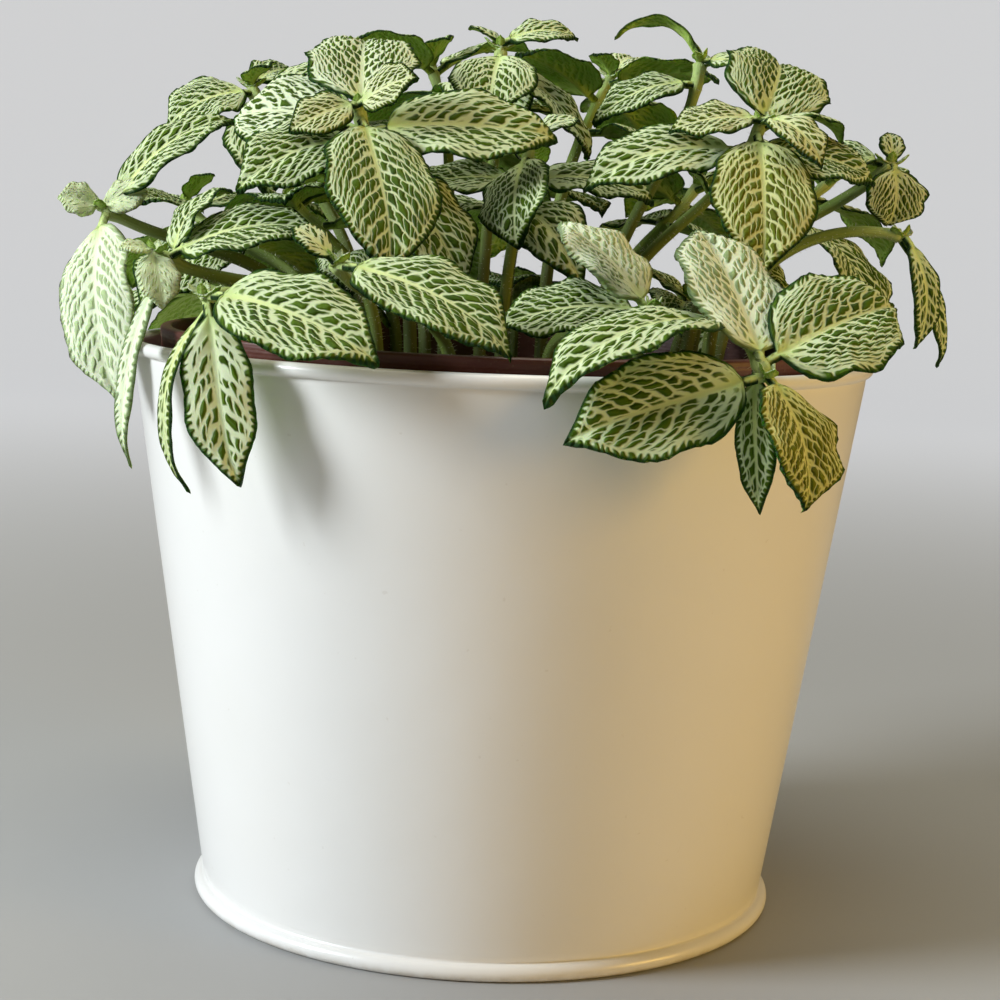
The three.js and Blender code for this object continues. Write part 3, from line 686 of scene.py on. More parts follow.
def make_leaf_net_group():
    """The net of veins, from a place on the leaf (along it, across it and in from its edge, in
    millimetres) and the share of the half width that it lies off the midrib."""
    nodes, given, result = new_group(
        "Leaf Net",
        [("Place", "NodeSocketVector", None), ("Reach", "NodeSocketFloat", 0.0),
         ("Random", "NodeSocketFloat", 0.0), ("Paleness", "NodeSocketFloat", 0.0),
         ("Vein Width", "NodeSocketFloat", 0.0), ("Cross Vein Pitch", "NodeSocketFloat", 1.7),
         ("Fringe Pitch", "NodeSocketFloat", 1.2)],
        [("Vein", "NodeSocketFloat"), ("Midrib", "NodeSocketFloat"), ("Margin", "NodeSocketFloat"),
         ("Cell Tone", "NodeSocketFloat"), ("Relief", "NodeSocketFloat")])
    x, y, edge = nodes.split(given["Place"])
    reach = given["Reach"]
    away = nodes.math("ABSOLUTE", y)
    side = nodes.math("GREATER_THAN", y, 0.0)
    seed = nodes.times(given["Random"], 40.0)
    offset = nodes.vector(seed, nodes.times(side, 23.0), seed)
    moved = nodes.add("ShaderNodeVectorMath", {0: given["Place"], 1: offset},
                      operation="ADD").outputs[0]
    ripple = nodes.add("ShaderNodeTexNoise", {"Vector": moved, "Scale": 0.5, "Detail": 0.6})
    fine = nodes.split(ripple.outputs["Color"])
    broad = nodes.noise(moved, 0.17, 1.0)
    warp_x = nodes.times_plus(nodes.centred(fine[0]), 1.8, nodes.times(nodes.centred(broad), 2.6))
    warp_y = nodes.times(nodes.centred(fine[1]), 1.8)

    # side veins: each leaves the midrib at its origin and arches towards the tip
    arch = nodes.math("POWER", reach, 3.0)
    lag = nodes.times(away, nodes.times_plus(arch, VEIN_ARCH, 1.0))
    origin = nodes.plus(nodes.minus(x, lag), warp_x)
    origin = nodes.math("MAXIMUM", nodes.plus(origin, VEIN_START), 0.01)
    column = nodes.times(nodes.math("POWER", origin, VEIN_POWER), VEIN_COUNT)
    column = nodes.times_plus(given["Random"], SEED_COLUMNS, column)
    column = nodes.times_plus(side, SIDE_COLUMNS, column)
    middle = nodes.math("ABSOLUTE", nodes.centred(nodes.math("FRACT", column)))
    pitch = nodes.math("POWER", origin, 1 - VEIN_POWER)
    pitch = nodes.math("DIVIDE", pitch, VEIN_COUNT * VEIN_POWER)
    slope = nodes.times_plus(arch, 3.8 * VEIN_ARCH, 1.0)
    steep = nodes.math("SQRT", nodes.times_plus(slope, slope, 1.0))
    between = nodes.minus(0.5, middle)
    to_side_vein = nodes.math("DIVIDE", nodes.times(between, pitch), steep)

    # cross veins: irregular steps along each column between two side veins
    walked = nodes.times_plus(nodes.math("POWER", reach, 2.0), 0.6, 1.41)
    walked = nodes.times_plus(away, walked, warp_y)
    number = nodes.math("FLOOR", column)
    phase = nodes.add("ShaderNodeTexWhiteNoise", {"W": number}, noise_dimensions="1D")
    phase = phase.outputs["Value"]
    row = nodes.math("DIVIDE", walked, given["Cross Vein Pitch"])
    row = nodes.plus(row, nodes.times_plus(phase, 17.0, nodes.times(between, 0.35)))
    rows = {"W": row, "Scale": 1.0, "Randomness": 0.75}
    to_cross_vein = nodes.add("ShaderNodeTexVoronoi", rows, voronoi_dimensions="1D",
                              feature="DISTANCE_TO_EDGE").outputs["Distance"]
    to_cross_vein = nodes.times(to_cross_vein, given["Cross Vein Pitch"])
    tone = nodes.add("ShaderNodeTexVoronoi", rows, voronoi_dimensions="1D").outputs["Color"]

    # fringe: short veins that run out from the looped vein to the edge
    loop = nodes.times_plus(nodes.centred(nodes.noise(moved, 0.4)), 1.5, 1.25)
    tooth = nodes.times_plus(warp_x, 0.8, nodes.times_plus(away, -0.62, x))
    tooth = nodes.plus(nodes.math("DIVIDE", tooth, given["Fringe Pitch"]), nodes.times(side, 0.37))
    to_tooth = nodes.add("ShaderNodeTexVoronoi", {"W": tooth, "Scale": 1.0, "Randomness": 0.5},
                         voronoi_dimensions="1D", feature="DISTANCE_TO_EDGE").outputs["Distance"]
    to_tooth = nodes.times(nodes.times(to_tooth, given["Fringe Pitch"]), 0.85)

    # half widths of the veins, in millimetres
    extra = nodes.times(given["Paleness"], nodes.step(away, 0.5, 6.5, 0.11, 0.04))
    extra = nodes.plus(extra, given["Vein Width"])
    side_width = nodes.plus(nodes.step(away, 0.2, 7.5, 0.20, 0.11), extra)
    cross_width = nodes.plus(nodes.step(away, 0.2, 6.0, 0.10, 0.07), extra)
    tooth_width = nodes.plus(nodes.step(edge, 0.3, 1.1, 0.02, 0.17), extra)
    join = nodes.step(edge, 0.5, 1.2)
    loop_width = nodes.times_plus(nodes.plus(extra, 0.30), join, -0.22)
    rib_width = nodes.times(nodes.step(x, -1.0, 26.0, 0.44, 0.11), nodes.step(edge, 0.3, 1.2))
    base = nodes.times(nodes.step(x, -1.0, 7.0, 0.16, 0.0), nodes.step(away, 1.5, 6.0, 1.0, 0.0))

    gap = nodes.rounded_least(nodes.minus(to_side_vein, side_width),
                              nodes.minus(to_cross_vein, cross_width), 0.42)
    outer = nodes.minus(to_tooth, tooth_width)
    inside = nodes.math("GREATER_THAN", edge, loop)
    gap = nodes.times_plus(inside, nodes.minus(gap, outer), outer)
    to_loop = nodes.minus(nodes.math("ABSOLUTE", nodes.minus(edge, loop)), loop_width)
    gap = nodes.minus(nodes.rounded_least(gap, to_loop, 0.5), base)
    gap = nodes.rounded_least(gap, nodes.minus(away, rib_width), 0.3)
    vein = nodes.times(nodes.step(gap, -0.10, 0.17, 1.0, 0.0), nodes.step(edge, 0.22, 0.85))
    nodes.put(vein, result["Vein"])
    nodes.put(nodes.step(away, 0.2, 1.0, 1.0, 0.0), result["Midrib"])
    nodes.put(nodes.step(edge, 0.2, 0.62, 1.0, 0.0), result["Margin"])
    nodes.put(nodes.split(tone)[0], result["Cell Tone"])
    nodes.put(nodes.step(gap, -0.1, 0.55), result["Relief"])


def make_grime_group():
    """Faint mottling and settled dust: a mask for colour and a roughness that varies."""
    nodes, given, result = new_group(
        "Surface Wear",
        [("Place", "NodeSocketVector", None), ("Scale", "NodeSocketFloat", 60.0),
         ("Roughness", "NodeSocketFloat", 0.4), ("Spread", "NodeSocketFloat", 0.1)],
        [("Mottle", "NodeSocketFloat"), ("Roughness", "NodeSocketFloat"),
         ("Grain", "NodeSocketFloat")])
    broad = nodes.noise(given["Place"], given["Scale"], 4.0, 0.6)
    fine = nodes.noise(given["Place"], nodes.times(given["Scale"], 14.0), 3.0, 0.6)
    nodes.put(nodes.step(broad, 0.35, 0.7), result["Mottle"])
    spread = nodes.times(nodes.minus(broad, 0.5), given["Spread"])
    nodes.put(nodes.plus(given["Roughness"], spread), result["Roughness"])
    nodes.put(fine, result["Grain"])


def leaf_material(settings, under):
    """Upper or under face of a leaf, with its net of veins."""
    _, nodes, shader = new_material("leaf underside" if under else "leaf upper face")
    place = nodes.attribute("leaf_place")
    random, pale, yellow = nodes.split(nodes.attribute("leaf_look"))
    reach = nodes.add("ShaderNodeAttribute", attribute_name="leaf_reach").outputs["Fac"]
    net = group_in(nodes, "Leaf Net", {
        "Place": place, "Reach": reach, "Random": random, "Paleness": pale,
        "Vein Width": nodes.times_plus(random, 0.07, -0.02)})
    x, y, _ = nodes.split(place)
    blotch = nodes.noise(place, 0.16, 3.0)
    tone = nodes.times_plus(net["Cell Tone"], 0.5, nodes.times(blotch, 0.9))
    tone = nodes.math("SUBTRACT", tone, 0.35, clamp=True)
    cell = nodes.mix(tone, rgba(settings.cell), rgba(settings.cell_light))
    # Pale blades get mint cells. On new leaves this is their own colour; on the big left-hand
    # leaves it is painted light, the sheen of the window light.
    young_and_lit = nodes.step(pale, 0.65, 1.0)
    cell = nodes.mix(nodes.times(young_and_lit, 0.95), cell, rgba(YOUNG_AND_LIT_CELL))
    cell = nodes.mix(nodes.times(yellow, 0.55), cell, rgba(YELLOWED_CELL))
    rib = nodes.times(net["Midrib"], nodes.step(x, 2.0, 22.0, 1.0, 0.35))
    vein = nodes.mix(rib, rgba(settings.vein), rgba(settings.midrib))
    vein = nodes.mix(pale, vein, rgba(YOUNG_VEIN))
    # Yellowed veins: a real tint, and on crown_right's fourth leaf also painted shade that darkens
    # the leaf.
    vein = nodes.mix(nodes.times(yellow, 0.7), vein, rgba(YELLOWED_AND_SHADED_VEIN))
    blade = nodes.mix(net["Vein"], cell, vein)
    heart = nodes.times(nodes.step(x, -0.8, 4.5, 0.9, 0.0),
                       nodes.step(nodes.math("ABSOLUTE", y), 0.3, 3.2, 1.0, 0.0))
    blade = nodes.mix(heart, blade, rgba(LEAF_HEART))
    margin = nodes.times(net["Margin"], nodes.step(pale, 0.6, 1.0, 1.0, 0.15))
    blade = nodes.mix(margin, blade, rgba(settings.margin))
    blade = nodes.mix(nodes.step(pale, 0.88, 1.0, 0.0, 0.75), blade, rgba(YOUNG_BLADE))
    wear = group_in(nodes, "Surface Wear", {
        "Place": place, "Scale": 0.7, "Roughness": 0.5, "Spread": 0.2})
    if under:
        flat = nodes.mix(nodes.times(net["Vein"], 0.5), rgba(UNDERSIDE), rgba(UNDERSIDE_VEIN))
        flat = nodes.mix(nodes.times(margin, 0.7), flat, rgba(settings.margin))
        nodes.put(flat, shader["Base Color"])
        height = nodes.times_plus(net["Relief"], -0.8, nodes.times(wear["Grain"], 0.2))
        shader["Roughness"].default_value = 0.6
    else:
        nodes.put(blade, shader["Base Color"])
        nodes.put(wear["Roughness"], shader["Roughness"])
        height = nodes.times_plus(net["Relief"], 1.0, nodes.times(wear["Grain"], 0.16))
    nodes.put(nodes.bump(height, 0.42 * MM), shader["Normal"])
    shader["Subsurface Weight"].default_value = 0.2
    shader["Subsurface Radius"].default_value = (0.6, 1.0, 0.15)
    shader["Subsurface Scale"].default_value = 0.0012
    shader["Specular IOR Level"].default_value = 0.1


def stem_material():
    """Hairy yellow-green stem, olive towards the soil."""
    _, nodes, shader = new_material("stem")
    place = nodes.attribute("leaf_place")
    x, y, _ = nodes.split(place)
    streak = nodes.noise(nodes.vector(nodes.times(x, 0.12), nodes.times(y, 1.6)), 1.3, 4.0)
    colour = nodes.mix(nodes.step(x, 1.0, 12.0), rgba(STEM_TIP), rgba(STEM_GREEN))
    colour = nodes.mix(nodes.step(x, 14.0, 46.0), colour, rgba(STEM_FOOT))
    colour = nodes.mix(nodes.step(streak, 0.35, 0.75, 0.0, 0.5), colour, rgba(STEM_STREAK))
    wear = group_in(nodes, "Surface Wear", {
        "Place": place, "Scale": 0.8, "Roughness": 0.5, "Spread": 0.2})
    nodes.put(colour, shader["Base Color"])
    nodes.put(wear["Roughness"], shader["Roughness"])
    nodes.put(nodes.bump(nodes.plus(streak, wear["Grain"]), 0.12 * MM), shader["Normal"])
    shader["Subsurface Weight"].default_value = 0.15
    shader["Subsurface Radius"].default_value = (0.6, 1.0, 0.2)
    shader["Subsurface Scale"].default_value = 0.0015


def hair_material():
    """Pale, slightly varied hairs of the stems."""
    _, nodes, shader = new_material("plant hair")
    shade = nodes.noise(nodes.object_place(), 900.0)
    dark, pale = (rgba(colour) for colour in HAIR_SHADES)
    nodes.put(nodes.mix(shade, dark, pale), shader["Base Color"])
    shader["Roughness"].default_value = 0.45


def enamel_material(settings):
    """Satin white enamel over sheet metal, a little yellowed and dusty round its foot."""
    _, nodes, shader = new_material("white enamel")
    place = nodes.object_place()
    wear = group_in(nodes, "Surface Wear", {
        "Place": place, "Scale": 22.0, "Roughness": 0.3, "Spread": 0.1})
    _, _, height = nodes.split(place)
    foot = nodes.times(nodes.step(height, 0.0, 2.2 * MM, 0.5, 0.0),
                       nodes.step(wear["Grain"], 0.3, 0.7))
    colour = nodes.mix(nodes.times(wear["Mottle"], 0.35), rgba(settings.enamel), rgba(AGED_ENAMEL))
    colour = nodes.mix(foot, colour, rgba(FOOT_DUST))
    specks = nodes.step(nodes.noise(place, 700.0, 1.0), 0.76, 0.82, 0.0, 0.2)
    colour = nodes.mix(specks, colour, rgba(ENAMEL_SPECK))
    nodes.put(colour, shader["Base Color"])
    nodes.put(wear["Roughness"], shader["Roughness"])
    peel = nodes.noise(place, 420.0, 2.0)
    ripple = nodes.noise(place, 34.0, 2.0)
    relief = nodes.times_plus(ripple, 4.0, nodes.times(peel, 0.18))
    nodes.put(nodes.bump(relief, 0.1 * MM, 0.8), shader["Normal"])
    shader["Coat Weight"].default_value = 0.25
    shader["Coat Roughness"].default_value = 0.12


def plastic_material(settings):
    """Dark reddish brown moulded plastic with fine rings and scuffs."""
    _, nodes, shader = new_material("brown plastic")
    place = nodes.object_place()
    wear = group_in(nodes, "Surface Wear", {
        "Place": place, "Scale": 70.0, "Roughness": 0.45, "Spread": 0.25})
    colour = nodes.mix(nodes.times(wear["Mottle"], 0.5), rgba(settings.plastic), rgba(WORN_PLASTIC))
    dust = nodes.step(wear["Grain"], 0.6, 0.75, 0.0, 0.4)
    nodes.put(nodes.mix(dust, colour, rgba(SOIL_DUST)), shader["Base Color"])
    nodes.put(wear["Roughness"], shader["Roughness"])
    _, _, height = nodes.split(place)
    rings = nodes.math("SINE", nodes.times(height, 9000.0))
    relief = nodes.times_plus(rings, 0.12, wear["Grain"])
    nodes.put(nodes.bump(relief, 0.08 * MM), shader["Normal"])


def soil_material(settings):
    """Moist dark peat with paler fibres."""
    _, nodes, shader = new_material("potting soil")
    place = nodes.object_place()
    clump = nodes.noise(place, 260.0, 6.0, 0.65)
    fibre = nodes.noise(place, 900.0, 3.0, 0.6)
    colour = nodes.mix(nodes.step(clump, 0.35, 0.7), rgba(settings.peat), rgba(DRY_PEAT))
    colour = nodes.mix(nodes.step(fibre, 0.66, 0.78, 0.0, 0.7), colour, rgba(PEAT_FIBRE))
    nodes.put(colour, shader["Base Color"])
    nodes.put(nodes.step(clump, 0.3, 0.7, 0.95, 0.7), shader["Roughness"])
    nodes.put(nodes.bump(nodes.plus(clump, fibre), 0.6 * MM), shader["Normal"])


# ---------------------------------------------------------------- mesh helpers


def smooth_object(name, bm, materials):
    """Make a bmesh an object of the scene, with smooth faces."""
    mesh = bpy.data.meshes.new(name)
    bm.to_mesh(mesh)
    bm.free()
    for material in materials:
        mesh.materials.append(material)
    mesh.polygons.foreach_set("use_smooth", [True] * len(mesh.polygons))
    made = bpy.data.objects.new(name, mesh)
    bpy.context.scene.collection.objects.link(made)
    return made


def add_piece(name, bm, materials):
    """Make a bmesh a piece that rides on the part's one body."""
    piece = smooth_object(name, bm, materials)
    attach(piece, "root")
    return piece


def merge_into(bm, other, slot=0):
    """Move a second bmesh into the first, with all its faces in one material slot."""
    mesh = bpy.data.meshes.new("merged")
    other.to_mesh(mesh)
    other.free()
    mesh.polygons.foreach_set("material_index", [slot] * len(mesh.polygons))
    bm.from_mesh(mesh)
    bpy.data.meshes.remove(mesh)


def arc(radius, height, size, start, stop, steps):
    """Points of a round bead's profile, between two angles in degrees."""
    angles = np.radians(np.linspace(start, stop, steps + 1))
    return [(radius + size * math.cos(angle), height + size * math.sin(angle)) for angle in angles]


def spun(bm, profile, steps):
    """Turn a profile of (radius, height) points about the Z axis into a closed shell."""
    verts = [bm.verts.new((radius, 0, height)) for radius, height in profile]
    edges = [bm.edges.new(pair) for pair in zip(verts, verts[1:])]
    bmesh.ops.spin(bm, geom=verts + edges, cent=(0, 0, 0), axis=(0, 0, 1), angle=math.tau,
                   steps=steps, use_merge=True)
    bmesh.ops.remove_doubles(bm, verts=bm.verts[:], dist=1e-6)
    bmesh.ops.recalc_face_normals(bm, faces=bm.faces[:])


def round_template(name, rows, columns):
    """A sphere to be reshaped into a leaf or a stem: for each vertex its share of the length
    and its angle round it, and a mesh to copy."""
    bm = bmesh.new()
    bmesh.ops.create_uvsphere(bm, u_segments=columns, v_segments=rows, radius=1)
    mesh = bpy.data.meshes.new(name)
    bm.to_mesh(mesh)
    bm.free()
    points = np.zeros(len(mesh.vertices) * 3, np.float32)
    mesh.vertices.foreach_get("co", points)
    x, y, z = points.reshape(-1, 3).T.astype(float)
    share = 1 - np.arccos(np.clip(z, -1, 1)) / np.pi
    centres = np.zeros(len(mesh.polygons) * 3, np.float32)
    mesh.polygons.foreach_get("center", centres)
    centres = centres.reshape(-1, 3).astype(float)
    return {"mesh": mesh, "share": share, "angle": np.arctan2(y, x),
            "face_share": 1 - np.arccos(np.clip(centres[:, 2], -1, 1)) / np.pi,
            "face_under": centres[:, 1] < 0}


def reshaped(bm, template, points, place, look, reach, slots):
    """Add a copy of a template to a bmesh, with its points, attributes and material slots."""
    mesh = template["mesh"].copy()
    mesh.vertices.foreach_set("co", (points * MM).astype(np.float32).ravel())
    for name, values in (("leaf_place", place), ("leaf_look", look)):
        attribute = mesh.attributes.new(name, "FLOAT_VECTOR", "POINT")
        attribute.data.foreach_set("vector", values.astype(np.float32).ravel())
    values = mesh.attributes.new("leaf_reach", "FLOAT", "POINT").data
    values.foreach_set("value", reach.astype(np.float32))
    mesh.polygons.foreach_set("material_index", slots.astype(np.int32))
    bm.from_mesh(mesh)
    bpy.data.meshes.remove(mesh)


def smooth_step(value, low, high):
    share = np.clip((value - low) / (high - low), 0, 1)
    return share * share * (3 - 2 * share)


# ---------------------------------------------------------------- foliage

UPPER, UNDER, STEM, HAIR = range(4)
LARGE_LEAF = 15.0
# How side veins leave the midrib and arch towards the tip, and how their number grows
# along it.
VEIN_ARCH = 0.95
VEIN_START = 14.0
VEIN_POWER = 0.6
VEIN_COUNT = 2.35
SEED_COLUMNS = 7.0
SIDE_COLUMNS = 19.37


# Form of a fine leaf: shares of its length or width.
CROWDING = 0.045
CRIMP = 0.010
TIP_TAPER = 0.42
PUCKER = 0.034
RUFFLE = 0.012
TIP_DROP = 0.030
SICKLE = 0.05
# Form of a fine leaf and stem: millimetres.
STALK_RADIUS = 0.78
RIB_DEPTH = 0.62
RIB_TIP_DEPTH = 0.06
GROOVE_DEPTH = 0.10
GROOVE_HALF_WIDTH = 0.7
NODE_SWELL = 0.28
NODE_SWELL_REACH = 1.4
HAIR_FOOT_RADIUS = 0.045
HAIR_TIP_RADIUS = 0.004
# Form of a fine stem: shares of its radius, and how many ridges and steps it has.
STEM_TAPER = 0.25
RIDGE_HEIGHT = 0.07
RIDGES = 4
LINE_STEPS = 80


def pattern_scale(leaf, variety):
    """How much the net of veins is stretched, so that a small leaf has a finer one."""
    return (30.0 / leaf.length) ** 0.45 / (0.94 + 0.24 * variety)


def fine_leaf(bm, template, leaf, blade_thickness, variety):
    """A leaf with its stalk, midrib, puckered blade and rounded edge, closed inside the stem."""
    share = template["share"]
    share = share - CROWDING * np.sin(2 * np.pi * share)
    root = ROOT_DEPTH / leaf.length
    s = -root + (1 + root) * share
    around = np.abs(template["angle"])
    over = np.where(np.sin(template["angle"]) >= 0, 1.0, -1.0)
    t = 0.35 * -np.cos(around) + 0.65 * (2 * around / np.pi - 1)
    side = (t > 0).astype(float)
    half = half_width(leaf, np.maximum(s, 0), side)
    scale = pattern_scale(leaf, variety)
    x = (s - PETIOLE_SHARE) * leaf.length * scale
    away = np.abs(half * t) * scale
    origin = np.maximum(x - away * (1 + VEIN_ARCH * np.abs(t) ** 3) + VEIN_START, 0.01)
    column = VEIN_COUNT * origin**VEIN_POWER + SEED_COLUMNS * variety + SIDE_COLUMNS * side
    turn = 2 * np.pi * column
    blade = smooth_step(s, PETIOLE_SHARE * 0.6, PETIOLE_SHARE + 0.09)
    crimp = 1 + CRIMP * np.cos(turn) * blade * t**4
    taper = 1 - TIP_TAPER * smooth_step(s, 0.74, 1.0)
    half = half * crimp * taper * smooth_step(s, -root, 0.01) ** 0.5
    lift = blade_lift(leaf, np.maximum(s, 0), t, half, side)
    pucker = np.abs(np.sin(0.5 * turn)) ** 0.8 * np.sin(np.pi * np.abs(t)) ** 0.8
    ruffle = np.sin(0.5 * turn + leaf.phase) * t**6
    lift += blade * leaf.width * (PUCKER * pucker + RUFFLE * ruffle)
    groove = np.exp(-((half * t / GROOVE_HALF_WIDTH) ** 2))
    rounding = np.sqrt(np.maximum(0, 1 - np.abs(t) ** 5))
    sheet = 0.5 * blade_thickness * rounding
    rib = RIB_DEPTH * (1 - np.clip(s, 0, 1)) ** 0.8 + RIB_TIP_DEPTH
    rib = rib * groove * (leaf.length / 30) ** 0.5
    skin = np.where(over > 0, sheet - GROOVE_DEPTH * groove, -sheet - rib)
    stalk = STALK_RADIUS * np.sin(around) * over * smooth_step(s, -root, 0.01) ** 0.5
    thick = stalk * (1 - blade) + skin * blade
    tip = TIP_DROP * leaf.length * smooth_step(s, 0.82, 1.0) ** 2
    points = leaf_surface(leaf, s, t, half, lift + thick - tip)
    sickle = (variety - 0.5) * SICKLE * leaf.length * np.sin(np.pi * np.clip(s, 0, 1) ** 2)
    points += leaf_axes(leaf)[2] * sickle[:, None]
    fall = np.abs(np.gradient(half_width(leaf, np.linspace(0, 1, 200), 0.0), leaf.length / 199))
    steep = np.interp(s, np.linspace(0, 1, 200), fall)
    edge = half * (1 - np.abs(t)) / np.sqrt(1 + steep**2) * scale**0.5
    place = np.stack((x, half * t * scale, edge), axis=1)
    look = np.tile((variety, leaf.pale, leaf.yellow), (len(s), 1))
    slots = np.where(template["face_under"], UNDER, UPPER)
    slots = np.where(template["face_share"] < PETIOLE_SHARE * 0.9, STEM, slots)
    reshaped(bm, template, points, place, look, np.abs(t), slots)
    return s, points


def tube_frames(centre):
    """Tangents of a line of points, and two directions across it that hardly turn round it."""
    tangents = np.gradient(centre, axis=0)
    tangents /= np.linalg.norm(tangents, axis=1)[:, None]
    first = np.cross(tangents[0], (0, 1, 0))
    sides = [first / np.linalg.norm(first)]
    for tangent in tangents[1:]:
        side = sides[-1] - tangent * sides[-1].dot(tangent)
        sides.append(side / np.linalg.norm(side))
    sides = np.array(sides)
    return tangents, sides, np.cross(tangents, sides)


def fine_stem(bm, template, stem, radius, variety):
    """A stem that swells at its leaf nodes. Gives back its line, radii and directions."""
    steps = LINE_STEPS
    centre = stem_points(stem, steps - 1)
    lengths = np.concatenate(((0,), np.cumsum(np.linalg.norm(np.diff(centre, axis=0), axis=1))))
    total = lengths[-1]
    even = np.linspace(0, total, steps)
    centre = np.stack([np.interp(even, lengths, centre[:, k]) for k in range(3)], axis=1)
    tangents, sides, ups = tube_frames(centre)
    radii = radius * (1 - STEM_TAPER * even / total)
    for drop in {leaf[0] for leaf in stem.leaves}:
        radii += NODE_SWELL * np.exp(-(((total - drop - even) / NODE_SWELL_REACH) ** 2))
    share = template["share"]
    share = share - 0.03 * np.sin(2 * np.pi * share)
    angle = template["angle"]
    at = share * (steps - 1)
    low = np.clip(at.astype(int), 0, steps - 2)
    part = (at - low)[:, None]

    def along(values):
        return values[low] * (1 - part) + values[low + 1] * part

    end = np.clip(np.minimum(share, 1 - share) * total / radius, 0, 1)
    rounded = np.sqrt(1 - (1 - end) ** 2)
    ridges = 1 + RIDGE_HEIGHT * np.cos(RIDGES * angle + variety * 6)
    spread = along(radii[:, None])[:, 0] * rounded * ridges
    round_side = along(sides) * np.cos(angle)[:, None] + along(ups) * np.sin(angle)[:, None]
    points = along(centre) + round_side * spread[:, None]
    place = np.stack((total * (1 - share), angle * radius, np.full(len(share), 5.0)), axis=1)
    look = np.tile((variety, 0, 0), (len(share), 1))
    reach = np.zeros(len(share))
    slots = np.full(len(template["face_under"]), STEM)
    reshaped(bm, template, points, place, look, reach, slots)
    return centre, radii, sides, ups, tangents


def add_hairs(bm, line, count, length, draw):
    """Fine hairs that stand out of a stem above the soil, each a slim three-sided cone."""
    centre, radii, sides, ups, tangents = line
    above = np.nonzero(centre[:, 2] > SOIL_TOP + 2)[0]
    for _ in range(count):
        index = int(above[0] + draw(0, 1) * (len(above) - 1))
        angle = draw(0, math.tau)
        outward = Vector(sides[index] * math.cos(angle) + ups[index] * math.sin(angle))
        tilt = Vector(tangents[index]) * draw(-0.3, 0.55)
        direction = (outward + tilt).normalized()
        reach = length * draw(0.6, 1.25)
        foot = Vector(centre[index]) + outward * radii[index] * 0.94
        turn = Vector((0, 0, 1)).rotation_difference(direction).to_matrix().to_4x4()
        middle = Matrix.Translation((foot + direction * reach / MM / 2) * MM)
        bmesh.ops.create_cone(bm, cap_ends=True, segments=3, radius1=HAIR_FOOT_RADIUS * MM,
                              radius2=HAIR_TIP_RADIUS * MM, depth=reach, matrix=middle @ turn)


def bud_leaves(stem, draw):
    """The folded leaflets at a stem's growing tip."""
    start = draw(0, 180)
    buds = []
    for pair, (length, width, rise) in enumerate(((3.6, 2.3, 30), (2.6, 1.7, 62))):
        for side in (0, 180):
            azimuth = start + 90 * pair + side + draw(-10, 10)
            base = stem_node(stem, 0.3)
            buds.append(Leaf(stem.name, base, azimuth, rise + draw(-6, 6), length, width,
                             0.0, -0.12, draw(0, 6.28), 1.0, 0.25))
    return buds


# ---------------------------------------------------------------- operators

PLANTER_SPIN = 160
NURSERY_POT_SPIN = 128
SOIL_SPIN = 72
SOIL_RINGS = 24
SEAM_THICKNESS = 0.3
SEAM_SWELL = 0.28
CRUMB_SEED = 2024
LOOK_SEED = 77
LARGE_LEAF_GRID = (48, 44)
SMALL_LEAF_GRID = (22, 20)
STEM_GRID = (56, 14)
BUD_THINNESS = 0.8

# Stage, in metres: the sweep's curve, the spin's steps, and each soft light's name, place,
# width, height, watts and colour.
SWEEP_CURVE = 0.5
SWEEP_SPIN = 96
BACKDROP_HEIGHT = 1.5
SENSOR = 36
LIGHT_TARGET = (0, 0, 0.10)
LIGHTS = (
    ("window", (-1.0, -0.34, 0.58), 0.4, 0.5, 17.0, (0.88, 0.94, 1.0)),
    ("room", (0.96, -0.44, 0.14), 0.5, 0.5, 6.1, (1.0, 0.60, 0.11)),
    ("ceiling", (0.0, 0.1, 1.1), 0.9, 0.9, 6.0, (1.0, 0.97, 0.82)),
)


class NERVEPLANT_OT_materials(bpy.types.Operator):
    """Make the shader node groups and every finish of the potted plant"""

    bl_idname = "nerveplant.materials"
    bl_label = "Make Finishes"

    def execute(self, context):
        scene = context.scene
        make_leaf_net_group()
        make_grime_group()
        leaf_material(scene.nerve_foliage, under=False)
        leaf_material(scene.nerve_foliage, under=True)
        stem_material()
        hair_material()
        enamel_material(scene.nerve_planter)
        plastic_material(scene.nerve_nursery_pot)
        soil_material(scene.nerve_soil)
        return {"FINISHED"}


